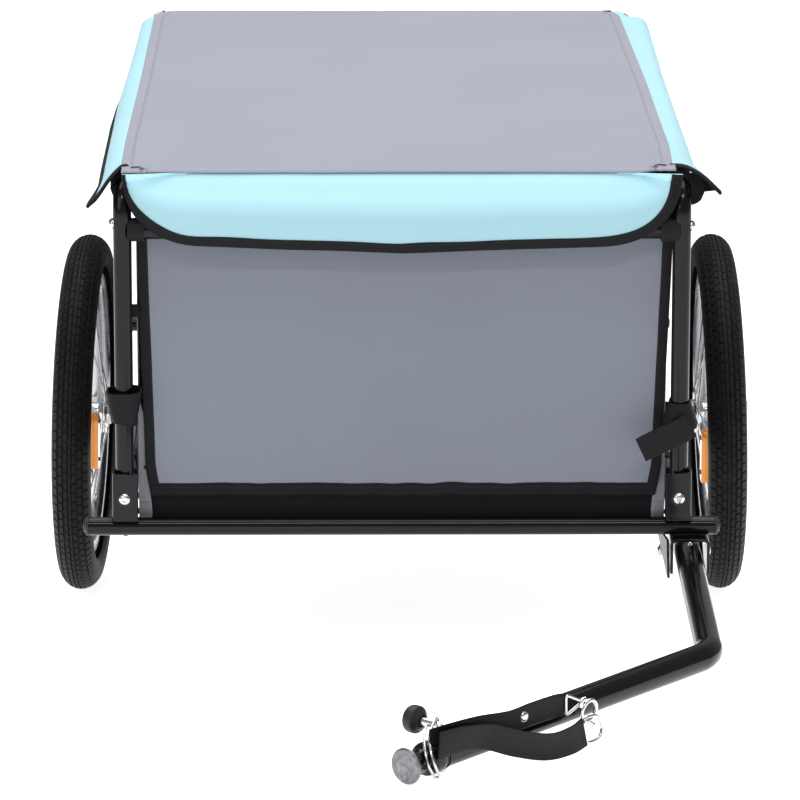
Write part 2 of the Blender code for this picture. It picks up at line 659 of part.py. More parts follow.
def cargo_bag(body):
    """An open-topped box of fabric with a low front lip."""
    low = (-BAG_HALF_WIDTH, BAG_FRONT_Y, FRAME_TUBE_R + GAP)
    high = (BAG_HALF_WIDTH, BAG_REAR_Y, BAG_TOP_Z)
    bag = solid("cargo_bag", block(low, high), "black_fabric", body)
    wall = 2 * CLOTH
    inside_low = [a + wall for a in low]
    inside_high = [high[0] - wall, high[1] - wall, high[2] + CUTTER_LENGTH]
    mouth_low = [inside_low[0], low[1] - CUTTER_LENGTH, BAG_LIP_Z]
    mouth_high = [inside_high[0], inside_low[1] + CUTTER_LENGTH, inside_high[2]]
    for name, a, b in (("bag_hollow", inside_low, inside_high), ("bag_mouth", mouth_low, mouth_high)):
        cutter = solid(name, block(a, b), "black_fabric", body)
        cutter.hide_render = True
        cutter.display_type = "WIRE"
        cut(bag, cutter)
    panel = block((-PANEL_HALF_WIDTH, PANEL_Y, PANEL_LOW_Z),
                  (PANEL_HALF_WIDTH, PANEL_Y + CLOTH, PANEL_TOP_Z))
    solid("front_panel", panel, "grey_fabric", body)


def cover(body):
    """The roof panel, its side flaps and rear flap, and the front flap that lifts."""
    roof_z = TOP_TUBE_Z + FRAME_TUBE_R + GAP
    roof = block((-ROOF_HALF_WIDTH, ROOF_FRONT_Y, roof_z), (ROOF_HALF_WIDTH, ROOF_REAR_Y, roof_z + CLOTH))
    solid("roof_panel", roof, "roof_fabric", body)
    hinge_z = roof_z + CLOTH + GAP
    hinge = empty("front_flap_joint", (0.0, ROOF_FRONT_Y - GAP, hinge_z), body)
    solid("front_flap", hanging_flap(hinge_z - FLAP_LOW_Z, -CLOTH), "blue_fabric", hinge)
    rear = (0.0, ROOF_REAR_Y + GAP, roof_z + CLOTH / 2)
    solid("rear_flap", hanging_flap(roof_z - FLAP_LOW_Z, CLOTH), "blue_fabric", body, rear)
    for side, sign in SIDES.items():
        side_flap(side, sign, roof_z, body)


def hanging_flap(drop, thickness):
    """A flap below the X axis with rounded lower corners."""
    rows = []
    for share in (0.0, 0.5, 1.0):
        row = []
        for k in range(FLAP_COLUMNS):
            x = -FLAP_HALF_WIDTH + 2 * FLAP_HALF_WIDTH * k / (FLAP_COLUMNS - 1)
            inset = min(FLAP_HALF_WIDTH - abs(x), FLAP_CORNER) / FLAP_CORNER
            depth = (drop - FLAP_RISE * abs(x)) * (0.25 + 0.75 * math.sqrt(inset * (2.0 - inset)))
            row.append((x, 0.0, -share * depth))
        rows.append(row)
    return cloth_sheet(rows, (0.0, thickness, 0.0))


def side_flap(side, sign, roof_z, body):
    """Hangs over the top tube; its front end widens into a corner ear."""
    inner = (ROOF_HALF_WIDTH + 1.0, roof_z)
    plain = [inner, (290.0, roof_z + 0.3), (301.0, 371.5), (307.0, 363.5), (309.5, 343.0)]
    ear = [inner, (291.0, roof_z), (304.0, 367.5), (315.0, 355.0), (327.0, 340.0)]
    rows = [[(sign * x, y, z) for x, z in section]
            for y, section in ((ROOF_FRONT_Y + 0.5, ear), (ROOF_FRONT_Y + 12.0, ear),
                               (ROOF_FRONT_Y + EAR_LENGTH, plain), (ROOF_REAR_Y, plain))]
    thickness = (sign * CLOTH * 0.6, 0.0, CLOTH * 0.8)
    solid(side + "_side_flap", cloth_sheet(rows, thickness), "blue_fabric", body)


def post_straps(body):
    inner = FRAME_TUBE_R + 2 * GAP
    for side, sign in SIDES.items():
        half = STRAP_HEIGHT / 2
        profile = [(inner, -half), (inner + CLOTH, -half), (inner + CLOTH, half), (inner, half)]
        solid(side + "_post_strap", turned(profile, 20, closed=True), "webbing", body,
              (sign * POST_X, FRONT_Y, STRAP_Z[side]))


def main():
    clear_scene()
    body = empty("trailer_frame", (0.0, AXLE_Y, WHEEL_RADIUS), tilt=STAND_TILT)
    base_frame(body)
    side_frames(body)
    for side, sign in SIDES.items():
        axle_bracket(side, sign, body)
        joint = empty(side + "_wheel_joint", (sign * WHEEL_X[side], 0.0, 0.0), body, tilt=-STAND_TILT,
                      lean=-sign * WHEEL_LEAN[side], turn=sign * WHEEL_TOE[side])
        wheel(side, sign, joint)
    tow_arm(body)
    cargo_bag(body)
    cover(body)
    post_straps(body)


main()
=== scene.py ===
"""Looks of the two-wheel bicycle cargo trailer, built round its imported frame.

Lengths are written in millimetres in the trailer's own frame: its origin is the
middle of the wheel axle, -Y points towards the bicycle and +Z up. TRAILER places
that frame in the world, and HITCH and the wheel places do the same for their parts.
"""
import json
import math

import bmesh
import bpy
from mathutils import Matrix, Quaternion, Vector, noise


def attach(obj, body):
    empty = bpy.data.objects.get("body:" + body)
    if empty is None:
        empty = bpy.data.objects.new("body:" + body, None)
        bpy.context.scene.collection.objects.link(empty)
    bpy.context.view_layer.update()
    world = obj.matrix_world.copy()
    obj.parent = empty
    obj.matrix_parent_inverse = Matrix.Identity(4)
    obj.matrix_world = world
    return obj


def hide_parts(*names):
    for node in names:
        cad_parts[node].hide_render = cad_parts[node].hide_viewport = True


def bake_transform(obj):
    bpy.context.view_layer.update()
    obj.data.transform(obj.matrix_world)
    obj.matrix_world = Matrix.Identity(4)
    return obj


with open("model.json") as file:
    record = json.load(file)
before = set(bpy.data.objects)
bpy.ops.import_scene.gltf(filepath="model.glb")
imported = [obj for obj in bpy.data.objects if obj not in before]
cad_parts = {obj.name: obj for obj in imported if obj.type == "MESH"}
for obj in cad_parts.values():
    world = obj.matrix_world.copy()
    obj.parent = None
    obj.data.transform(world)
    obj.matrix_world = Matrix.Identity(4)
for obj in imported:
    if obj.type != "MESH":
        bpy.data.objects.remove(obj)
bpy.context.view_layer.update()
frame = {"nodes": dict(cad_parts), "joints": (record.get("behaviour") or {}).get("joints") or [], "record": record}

# Frames of reference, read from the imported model.

JOINTS = {joint["name"]: joint for joint in frame["joints"]}
RIGHT = Vector((1.0, 0.0, 0.0))
UP = Vector(JOINTS["hitch_pin_pull"]["axis"]).normalized()
BACK = UP.cross(RIGHT)
HUB = Vector(JOINTS["left_wheel_spin"]["pos_m"])
AXLE_MIDDLE = Vector((0.0, HUB.y, HUB.z))


def placed(origin, x, y, z):
    """The matrix of a frame with these axes and this origin."""
    turn = Matrix((x, y, z)).transposed().to_4x4()
    return Matrix.Translation(origin) @ turn


TRAILER = placed(AXLE_MIDDLE, RIGHT, BACK, UP)
HITCH_FACE = frame["record"]["mounts"][0]
ALONG_ARM = -Vector(HITCH_FACE["axis"]).normalized()
HITCH = placed(Vector(HITCH_FACE["pos_m"]), ALONG_ARM.cross(UP), ALONG_ARM, UP)
SIDES = {"left": -1, "right": 1}


def span(node, place=TRAILER):
    """Lowest and highest corner of a CAD node in one of the frames, in millimetres."""
    back = place.inverted()
    points = [back @ vertex.co * 1000 for vertex in frame["nodes"][node].data.vertices]
    low = Vector([min(p[k] for p in points) for k in range(3)])
    high = Vector([max(p[k] for p in points) for k in range(3)])
    return low, high


def middle(node, axis, place=TRAILER):
    low, high = span(node, place)
    return (low[axis] + high[axis]) / 2


BAR_LOW, BAR_HIGH = span("front_crossbar")
TUBE_R = (BAR_HIGH.z - BAR_LOW.z) / 2
BAR_END = BAR_HIGH.x
FRONT_Y = middle("front_crossbar", 1)
REAR_Y = middle("rear_crossbar", 1)
POST_X = middle("right_base_rail", 0)
TOP_Z = span("right_side_frame")[1].z - TUBE_R
POST_LOW_Z = span("right_side_frame")[0].z
CROSS_Z = middle("front_top_crosstube", 2)
ROOF_LOW, ROOF_HIGH = span("roof_panel")
ROOF_Z = ROOF_HIGH.z
ARM_PIVOT = TRAILER.inverted() @ Vector(JOINTS["tow_arm_fold"]["pos_m"]) * 1000
ARM_R = (span("tow_arm")[1].z - span("tow_arm")[0].z) / 2
BEND_R = 40.0
ENDS = {"front": FRONT_Y, "rear": REAR_Y}


# Gathering points and faces

class Shape:
    """Points in millimetres and faces, gathered before they become one piece."""

    def __init__(self):
        self.points = []
        self.marks = []
        self.faces = []
        self.looks = []

    def grid(self, rows, wrap=False, loop=False, ends=False, look=0, marks=None):
        """Quads between rows: wrap closes each row, loop joins the last row to the first."""
        base, width, count = len(self.points), len(rows[0]), len(rows)
        for i, row in enumerate(rows):
            self.points.extend(Vector(p) / 1000 for p in row)
            self.marks.extend(marks[i] if marks else [(k / 1000, i / 1000) for k in range(width)])
        for i in range(count if loop else count - 1):
            low, high = base + i * width, base + (i + 1) % count * width
            for k in range(width if wrap else width - 1):
                nxt = (k + 1) % width
                self.faces.append((low + k, low + nxt, high + nxt, high + k))
                self.looks.append(look)
        if ends:
            self.faces.append(tuple(base + k for k in reversed(range(width))))
            self.faces.append(tuple(base + (count - 1) * width + k for k in range(width)))
            self.looks += [look, look]
        return self


def linked(name, data):
    """A new object of the scene."""
    made = bpy.data.objects.new(name, data)
    bpy.context.scene.collection.objects.link(made)
    return made


def piece(name, shape, look, body="trailer_frame", place=TRAILER, replaces=(), thick=0.0, bevel=0.0,
          angle=38.0):
    """Turn gathered points into an object with its look, on its body."""
    looks = look if isinstance(look, tuple) else (look,)
    mesh = bpy.data.meshes.new(name)
    mesh.from_pydata(shape.points, [], shape.faces)
    layer = mesh.uv_layers.new(name="marks")
    for corner in mesh.loops:
        layer.data[corner.index].uv = shape.marks[corner.vertex_index]
    for polygon, index in zip(mesh.polygons, shape.looks):
        polygon.material_index = index
    work = bmesh.new()
    work.from_mesh(mesh)
    bmesh.ops.remove_doubles(work, verts=work.verts, dist=1e-6)
    bmesh.ops.recalc_face_normals(work, faces=work.faces)
    work.to_mesh(mesh)
    work.free()
    mesh.shade_smooth()
    mesh.set_sharp_from_angle(angle=math.radians(angle))
    for one in looks:
        mesh.materials.append(material(one))
    made = linked(name, mesh)
    made.matrix_world = place
    if thick:
        shell = made.modifiers.new("thickness", "SOLIDIFY")
        shell.thickness = thick / 1000
        shell.offset = 0.0
    if bevel:
        edge = made.modifiers.new("edges", "BEVEL")
        edge.width = bevel / 1000
        edge.segments = 2
        edge.angle_limit = math.radians(50.0)
    if body:
        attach(made, body)
    if replaces:
        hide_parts(*replaces)
    return made


# Curves

def rounded(points, radius, steps=3, closed=True):
    """Each corner of an outline becomes a short curve."""
    out = []
    points = [Vector(p) for p in points]
    for k, corner in enumerate(points):
        if not closed and k in (0, len(points) - 1):
            out.append(corner)
            continue
        before = points[k - 1] - corner
        after = points[(k + 1) % len(points)] - corner
        start = corner + before.normalized() * min(radius, before.length * 0.48)
        end = corner + after.normalized() * min(radius, after.length * 0.48)
        for step in range(steps + 1):
            t = step / steps
            out.append(start * (1 - t) ** 2 + corner * 2 * t * (1 - t) + end * t * t)
    return out


def bent(corners, radius, steps=14):
    """Straight runs joined by arcs of the given centre-line radius."""
    points = [Vector(corners[0])]
    for before, corner, after in zip(corners, corners[1:], corners[2:]):
        corner = Vector(corner)
        arrive = (corner - Vector(before)).normalized()
        leave = (Vector(after) - corner).normalized()
        turn = arrive.angle(leave)
        centre = corner + (leave - arrive).normalized() * (radius / math.cos(turn / 2))
        start = corner - arrive * radius * math.tan(turn / 2) - centre
        axis = arrive.cross(leave).normalized()
        for k in range(steps + 1):
            spoke = start.copy()
            spoke.rotate(Quaternion(axis, turn * k / steps))
            points.append(centre + spoke)
    points.append(Vector(corners[-1]))
    return points


def smooth(points, steps=6):
    """Catmull-Rom points through a given route."""
    points = [Vector(p) for p in points]
    padded = [points[0] * 2 - points[1]] + points + [points[-1] * 2 - points[-2]]
    out = []
    for p0, p1, p2, p3 in zip(padded, padded[1:], padded[2:], padded[3:]):
        for k in range(steps):
            t = k / steps
            out.append(0.5 * (2 * p1 + (p2 - p0) * t + (2 * p0 - 5 * p1 + 4 * p2 - p3) * t * t
                              + (3 * p1 - p0 - 3 * p2 + p3) * t ** 3))
    out.append(points[-1])
    return out


def polar(radius, angle, height=0.0):
    return Vector((radius * math.cos(angle), radius * math.sin(angle), height))


def circle(point, side, lift, radius, sides):
    """Points of a circle round a point, in the plane of two directions."""
    turns = (2 * math.pi * n / sides for n in range(sides))
    return [point + (side * math.cos(a) + lift * math.sin(a)) * radius for a in turns]


def surface(across, along, point):
    """Rows of points; point is asked with the shares across and along, each 0 to 1."""
    return [[point(k / across, j / along) for k in range(across + 1)] for j in range(along + 1)]


def ease(value):
    """0 to 1 with a soft start and end."""
    value = min(1.0, max(0.0, value))
    return value * value * (3 - 2 * value)


def headings(path):
    return [(path[min(k + 1, len(path) - 1)] - path[max(k - 1, 0)]).normalized() for k in range(len(path))]


def carried(path):
    """A sideways direction at each point, turned no more than the path itself."""
    ways = headings(path)
    side = ways[0].orthogonal().normalized()
    sides = [side]
    for before, way in zip(ways, ways[1:]):
        side = side.copy()
        side.rotate(before.rotation_difference(way))
        sides.append(side)
    return sides


def wobble(*values):
    """A smooth repeatable value between -1 and 1."""
    return noise.noise(Vector(values))


# Solids

def turned(profile, sides, shape=None, look=0, closed=False, hexes=()):
    """Revolve (radius, height) points about Z; the listed rows are hexagonal."""
    shape = shape or Shape()
    rows = []
    for k, (radius, height) in enumerate(profile):
        row = []
        for n in range(sides):
            a = 2 * math.pi * n / sides
            r = radius
            if k in hexes:
                r = radius / math.cos((a + math.pi / 6) % (math.pi / 3) - math.pi / 6)
            row.append(polar(r, a, height))
        rows.append(row)
    return shape.grid(rows, wrap=True, loop=closed, look=look)


def pipe(path, radius, sides=28, shape=None, look=0, wall=None):
    """A round bar along a path; wall makes it an open tube."""
    shape = shape or Shape()
    path = [Vector(p) for p in path]
    skins = []
    for size in (radius,) if wall is None else (radius, radius - wall):
        rows = []
        for point, way, side in zip(path, headings(path), carried(path)):
            rows.append(circle(point, side, way.cross(side), size, sides))
        skins.append(rows)
    if wall is None:
        return shape.grid(skins[0], wrap=True, ends=True, look=look)
    return shape.grid(skins[0] + skins[1][::-1], wrap=True, loop=True, look=look)


def tape(path, across, width, thickness, shape=None, lanes=8):
    """A flat band along a path; across gives its width direction at each point."""
    shape = shape or Shape()
    path = [Vector(p) for p in path]
    if isinstance(across, (tuple, Vector)):
        across = [Vector(across)] * len(path)
    face = [(-0.5 + k / lanes, 0.5 if 0 < k < lanes else 0.25) for k in range(lanes + 1)]
    section = face + [(a, -b) for a, b in reversed(face)]
    rows, marks, run = [], [], 0.0
    for k, (point, way, up) in enumerate(zip(path, headings(path), across)):
        run += (point - path[k - 1]).length if k else 0.0
        side = way.cross(up).normalized()
        lift = side.cross(way)
        rows.append([point + lift * a * width + side * b * thickness for a, b in section])
        marks.append([((a + 0.5) * width / 1000, run / 1000) for a, b in section])
    return shape.grid(rows, wrap=True, ends=True, marks=marks)


def facing(at, along, place=TRAILER):
    """A place at a point whose local Z looks along a direction."""
    turn = Vector(along).to_track_quat("Z", "Y").to_matrix().to_4x4()
    return place @ Matrix.Translation(Vector(at) / 1000) @ turn


# Materials

HEM = 0.012
# ROOF_GREY is paler than PANEL_GREY as painted light: the roof faces the light from above.
ROOF_GREY = (0.24, 0.254, 0.30)
HEM_GREY = (0.252, 0.248, 0.293)
BLUE = (0.318, 0.53, 0.595)
PANEL_GREY = (0.157, 0.172, 0.208)
WALL_GREY = (0.2, 0.21, 0.23)
BLACK_CLOTH = (0.006, 0.006, 0.0072)
PAINT_BLACK = (0.003, 0.003, 0.0042)


class Graph:
    """One material's nodes, with short names for the ones used often."""

    def __init__(self, name):
        self.material = bpy.data.materials.new(name)
        self.material.use_nodes = True
        self.tree = self.material.node_tree
        self.shader = self.tree.nodes["Principled BSDF"]

    def add(self, kind, **settings):
        made = self.tree.nodes.new("ShaderNode" + kind)
        for key, value in settings.items():
            setattr(made, key, value)
        return made

    def join(self, source, target):
        self.tree.links.new(source, target)

    def feed(self, socket, value):
        if isinstance(value, bpy.types.NodeSocket):
            self.join(value, socket)
        else:
            socket.default_value = value

    def set(self, **values):
        for key, value in values.items():
            self.feed(self.shader.inputs[key.replace("_", " ")], value)

    def math(self, operation, first, second=0.0):
        made = self.add("Math", operation=operation)
        self.feed(made.inputs[0], first)
        self.feed(made.inputs[1], second)
        return made.outputs[0]

    def axes(self):
        """The piece's own coordinates, in metres."""
        split = self.add("SeparateXYZ")
        self.join(self.add("TexCoord").outputs["Object"], split.inputs[0])
        return dict(zip("xyz", split.outputs))

    def strip(self):
        """Metres across and along a tape, from its marks."""
        split = self.add("SeparateXYZ")
        self.join(self.add("UVMap", uv_map="marks").outputs[0], split.inputs[0])
        return split.outputs[0], split.outputs[1]

    def noise(self, scale, detail=2.0, stretch=None):
        made = self.add("TexNoise")
        made.inputs["Scale"].default_value = scale
        made.inputs["Detail"].default_value = detail
        if stretch:
            mapping = self.add("Mapping")
            mapping.inputs["Scale"].default_value = stretch
            self.join(self.add("TexCoord").outputs["Object"], mapping.inputs[0])
            self.join(mapping.outputs[0], made.inputs["Vector"])
        else:
            self.join(self.add("TexCoord").outputs["Object"], made.inputs["Vector"])
        return made.outputs["Fac"]

    def blend(self, share, first, second):
        made = self.add("Mix", data_type="RGBA")
        self.feed(made.inputs[0], share)
        self.feed(made.inputs[6], first if isinstance(first, bpy.types.NodeSocket) else (*first, 1.0))
        self.feed(made.inputs[7], second if isinstance(second, bpy.types.NodeSocket) else (*second, 1.0))
        return made.outputs[2]

    def span(self, value, low, high, new_low, new_high):
        made = self.add("MapRange")
        for socket, one in zip(made.inputs, (value, low, high, new_low, new_high)):
            self.feed(socket, one)
        return made.outputs[0]

    def bump(self, height, depth, strength=1.0, under=None):
        made = self.add("Bump")
        made.inputs["Strength"].default_value = strength
        made.inputs["Distance"].default_value = depth
        self.join(height, made.inputs["Height"])
        if under is not None:
            self.join(under, made.inputs["Normal"])
        return made.outputs[0]

    def waves(self, value, pitch):
        return self.math("SINE", self.math("MULTIPLY", value, 2 * math.pi / pitch))

    def dashes(self, across, along, at, width=0.0009, pitch=0.0034):
        """1 on the stitches of a seam that runs along a line, 0 elsewhere."""
        offset = self.math("ABSOLUTE", self.math("SUBTRACT", across, at))
        line = self.math("LESS_THAN", offset, width / 2)
        gap = self.math("FRACT", self.math("DIVIDE", along, pitch))
        return self.math("MULTIPLY", line, self.math("LESS_THAN", gap, 0.72))


def scaled(colour, share):
    return tuple(min(1.0, part * share) for part in colour)


def cloth(graph, colour, first="x", second="z", rough=0.82, seams=(), shade=None, sheen=0.06,
          shine=0.2):
    """Plain-woven coated polyester: threads both ways, soft clouding and faint creases."""
    axes = graph.axes()
    threads = graph.math("MULTIPLY", graph.waves(axes[first], 0.0012), graph.waves(axes[second], 0.0012))
    weave = graph.span(threads, -1.0, 1.0, 0.0, 1.0)
    base = graph.blend(weave, scaled(colour, 0.93), scaled(colour, 1.05))
    cloud = graph.span(graph.noise(7.0, 4.0), 0.3, 0.7, 0.0, 1.0)
    base = graph.blend(cloud, base, graph.blend(0.5, base, scaled(colour, 0.9)))
    if shade:
        base = shade(graph, axes, base)
    normal = graph.bump(weave, 0.00016, 0.5)
    normal = graph.bump(graph.noise(26.0, 3.0), 0.0022, 0.16, normal)
    for across, along, at in seams:
        stitches = graph.dashes(axes[across], axes[along], at)
        base = graph.blend(graph.math("MULTIPLY", stitches, 0.55), base, scaled(colour, 0.45))
        normal = graph.bump(stitches, 0.0004, 0.8, normal)
    graph.set(Base_Color=base, Normal=normal, Sheen_Weight=sheen, Sheen_Roughness=0.5)
    graph.set(Roughness=graph.span(weave, 0.0, 1.0, rough + 0.05, rough - 0.05), Specular_IOR_Level=shine)


def look_roof_cloth(graph):
    cloth(graph, ROOF_GREY, "x", "y", seams=[("y", "x", ROOF_LOW.y / 1000 + 0.006)])


def look_hem(graph):
    """The doubled edge of the roof: a little warmer, with a stitch line along it."""
    across, along = graph.strip()
    stitches = graph.dashes(across, along, HEM - 0.0022, 0.001, 0.004)
    cloud = graph.noise(30.0, 3.0)
    base = graph.blend(cloud, scaled(HEM_GREY, 0.92), scaled(HEM_GREY, 1.04))
    base = graph.blend(graph.math("MULTIPLY", stitches, 0.6), base, scaled(HEM_GREY, 0.4))
    graph.set(Base_Color=base, Roughness=0.85, Normal=graph.bump(cloud, 0.002, 0.25), Specular_IOR_Level=0.2)


def look_worn(graph):
    """Black enamel rubbed through to steel on the hitch face."""
    rubbed = graph.span(graph.noise(180.0, 4.0), 0.3, 0.7, 0.0, 1.0)
    base = graph.blend(rubbed, (0.10, 0.102, 0.108), (0.2, 0.205, 0.215))
    graph.set(Base_Color=base, Metallic=0.85, Roughness=graph.span(rubbed, 0.0, 1.0, 0.42, 0.3))
    graph.set(Normal=graph.bump(graph.noise(400.0, 2.0), 0.0002, 0.3))


def look_blue_cloth(graph):
    cloth(graph, BLUE, "x", "y", 0.78)


def look_flap_cloth_with_painted_shade(graph):
    def painted_light_and_shade(graph, axes, base):
        """Painted light and shade: paler where the flap turns over the roof's end and faces up, darker below the
        turn.
        """
        low = graph.span(graph.strip()[1], 0.0095, 0.0165, 0.0, 1.0)
        return graph.blend(0.85, base, graph.blend(low, scaled(BLUE, 1.13), scaled(BLUE, 0.8)))
    cloth(graph, BLUE, "x", "y", 0.78, shade=painted_light_and_shade)


def look_grey_cloth_with_painted_shade(graph):
    def painted_shade_above(graph, axes, base):
        """Painted shade: the top of the panel, under the flap, is painted a little greyer and darker."""
        share = graph.span(axes["z"], 0.20, 0.33, 0.0, 1.0)
        return graph.blend(graph.math("MULTIPLY", share, 0.35), base, scaled(PANEL_GREY, 0.72))
    cloth(graph, PANEL_GREY, "x", "z", shade=painted_shade_above)


def look_wall_cloth(graph):
    cloth(graph, WALL_GREY, "y", "z", seams=(("z", "y", 0.345), ("z", "y", 0.022)))


def look_black_cloth(graph):
    cloth(graph, BLACK_CLOTH, "x", "y", 0.75, sheen=0.0, shine=0.1)


def look_binding(graph):
    """Folded edging tape: fine ribs across, and one row of stitches near its inner edge."""
    across, along = graph.strip()
    ribs = graph.span(graph.waves(along, 0.0011), -1.0, 1.0, 0.0, 1.0)
    stitches = graph.dashes(across, along, 0.0088)
    base = graph.blend(ribs, scaled(BLACK_CLOTH, 0.8), scaled(BLACK_CLOTH, 1.3))
    base = graph.blend(stitches, base, scaled(BLACK_CLOTH, 2.4))
    normal = graph.bump(ribs, 0.00015, 0.4)
    normal = graph.bump(graph.noise(55.0, 2.0), 0.002, 0.35, normal)
    normal = graph.bump(stitches, 0.0003, 0.8, normal)
    graph.set(Base_Color=base, Roughness=0.62, Normal=normal, Specular_IOR_Level=0.1, Sheen_Weight=0.0)


def look_webbing(graph):
    """Woven strap: ribs along it, slanted across by a fine twill."""
    across, along = graph.strip()
    ribs = graph.span(graph.waves(across, 0.0032), -1.0, 1.0, 0.0, 1.0)
    slanted = graph.math("ADD", along, graph.math("MULTIPLY", graph.waves(across, 0.0032), 0.0004))
    twill = graph.span(graph.waves(slanted, 0.0012), -1.0, 1.0, 0.0, 1.0)
    grain = graph.math("ADD", graph.math("MULTIPLY", ribs, 0.7), graph.math("MULTIPLY", twill, 0.3))
    base = graph.blend(grain, (0.003, 0.003, 0.0037), (0.010, 0.010, 0.0115))
    normal = graph.bump(grain, 0.0004, 0.55)
    graph.set(Base_Color=base, Roughness=0.6, Normal=normal, Sheen_Weight=0.0, Specular_IOR_Level=0.12)


def look_thread(graph):
    twist = graph.noise(900.0, 1.0)
    graph.set(Base_Color=graph.blend(twist, (0.02, 0.02, 0.022), (0.06, 0.06, 0.065)), Roughness=0.6)
    graph.set(Normal=graph.bump(twist, 0.0002, 0.5))


def look_paint(graph):
    """Gloss black powder coat: slight orange peel, uneven gloss and fine dust."""
    peel = graph.noise(320.0, 2.0)
    patches = graph.noise(12.0, 3.0)
    dust = graph.span(graph.noise(1500.0, 1.0), 0.7, 0.8, 0.0, 0.1)
    base = graph.blend(dust, PAINT_BLACK, (0.03, 0.03, 0.032))
    graph.set(Base_Color=base, Roughness=graph.span(patches, 0.3, 0.7, 0.12, 0.18), Specular_IOR_Level=0.17)
    graph.set(Normal=graph.bump(peel, 0.00025, 0.12), Coat_Weight=0.06, Coat_Roughness=0.03)


def look_plastic(graph):
    """Moulded black plastic with a fine spark-eroded grain."""
    grain = graph.noise(1400.0, 2.0)
    base = graph.blend(grain, (0.007, 0.007, 0.008), (0.018, 0.018, 0.02))
    graph.set(Base_Color=base, Roughness=graph.span(grain, 0.3, 0.7, 0.42, 0.55), Specular_IOR_Level=0.3)
    graph.set(Normal=graph.bump(grain, 0.0002, 0.3))


def look_zinc(graph):
    """Bright zinc plate: cloudy, faintly blue and yellow, with fine drawing marks."""
    cloud = graph.span(graph.noise(60.0, 3.0), 0.3, 0.7, 0.0, 1.0)
    base = graph.blend(cloud, (0.44, 0.455, 0.49), (0.62, 0.61, 0.58))
    marks = graph.noise(500.0, 2.0)
    graph.set(Base_Color=base, Metallic=1.0, Roughness=graph.span(cloud, 0.0, 1.0, 0.16, 0.3))
    graph.set(Normal=graph.bump(marks, 0.00012, 0.25))


def look_alloy(graph):
    """Polished rim: brushed round its length, with darker grime in patches."""
    brush = graph.noise(40.0, 2.0, stretch=(1.0, 1.0, 26.0))
    grime = graph.span(graph.noise(18.0, 4.0), 0.55, 0.75, 0.0, 0.35)
    base = graph.blend(grime, (0.4, 0.41, 0.43), (0.22, 0.22, 0.23))
    graph.set(Base_Color=base, Metallic=1.0, Roughness=graph.span(brush, 0.3, 0.7, 0.2, 0.34))
    graph.set(Normal=graph.bump(brush, 0.0002, 0.2))


def look_rubber(graph):
    """Tyre rubber: matt, finely pitted, greyer where the moulding dust stays."""
    pits = graph.noise(900.0, 3.0)
    dust = graph.span(graph.noise(55.0, 5.0), 0.5, 0.8, 0.0, 0.5)
    base = graph.blend(dust, (0.005, 0.005, 0.0055), (0.016, 0.016, 0.017))
    graph.set(Base_Color=base, Roughness=graph.span(pits, 0.3, 0.7, 0.42, 0.66))
    graph.set(Normal=graph.bump(pits, 0.0008, 0.6), Specular_IOR_Level=0.13)


def look_amber(graph):
    """Clear amber plastic over rows of small prisms, with a faint painted glow."""
    axes = graph.axes()
    cells = graph.math("MULTIPLY", graph.waves(axes["y"], 0.0034), graph.waves(axes["z"], 0.0034))
    prisms = graph.span(cells, -1.0, 1.0, 0.0, 1.0)
    base = graph.blend(prisms, (0.9, 0.22, 0.01), (1.0, 0.42, 0.06))
    graph.set(Base_Color=base, Roughness=0.16, Coat_Weight=1.0, Coat_Roughness=0.03)
    # The emission is a painted glow: the lens gives off light though it is no lamp.
    graph.set(Normal=graph.bump(prisms, 0.0006, 0.7), Emission_Color=(0.95, 0.3, 0.02, 1.0),
              Emission_Strength=0.12)


# Each look's CAD material slot and the function that dresses it.
LOOKS = {
    "paint": ("black_paint", look_paint),
    "worn": ("black_paint", look_worn),
    "plastic": ("black_plastic", look_plastic),
    "zinc": ("zinc", look_zinc),
    "alloy": ("rim_alloy", look_alloy),
    "rubber": ("tyre", look_rubber),
    "amber": ("amber", look_amber),
    "webbing": ("webbing", look_webbing),
    "roof_cloth": ("roof_fabric", look_roof_cloth),
    "hem": ("roof_fabric", look_hem),
    "blue_cloth": ("blue_fabric", look_blue_cloth),
    "flap_cloth": ("blue_fabric", look_flap_cloth_with_painted_shade),
    "grey_cloth": ("grey_fabric", look_grey_cloth_with_painted_shade),
    "wall_cloth": ("grey_fabric", look_wall_cloth),
    "black_cloth": ("black_fabric", look_black_cloth),
    "binding": ("black_fabric", look_binding),
    "thread": ("black_fabric", look_thread),
}
MADE_LOOKS = {}


def material(name):
    """The named look, made once. The CAD nodes' own materials can have the same names."""
    if name not in MADE_LOOKS:
        graph = Graph(name + "_look")
        LOOKS[name][1](graph)
        MADE_LOOKS[name] = graph.material
    return MADE_LOOKS[name]


# Steel frame

def weld(name, centre, along, across):
    """A rippled bead where a tube of axis `along` meets an equal one of axis `across`."""
    centre, along, across = Vector(centre), Vector(along), Vector(across)
    third = along.cross(across)
    path = []
    for k in range(73):
        a = 2 * math.pi * k / 72
        side = across * math.cos(a) + third * math.sin(a)
        path.append(centre + side * TUBE_R + along * TUBE_R * abs(math.cos(a)))
    shape = Shape()
    rows = []
    for k, (point, way, side) in enumerate(zip(path, headings(path), carried(path))):
        rows.append(circle(point, side, way.cross(side), 1.5 + 0.35 * math.sin(k * 2.1), 10))
    shape.grid(rows[:-1], wrap=True, loop=True)
    return piece(name, shape, "paint")


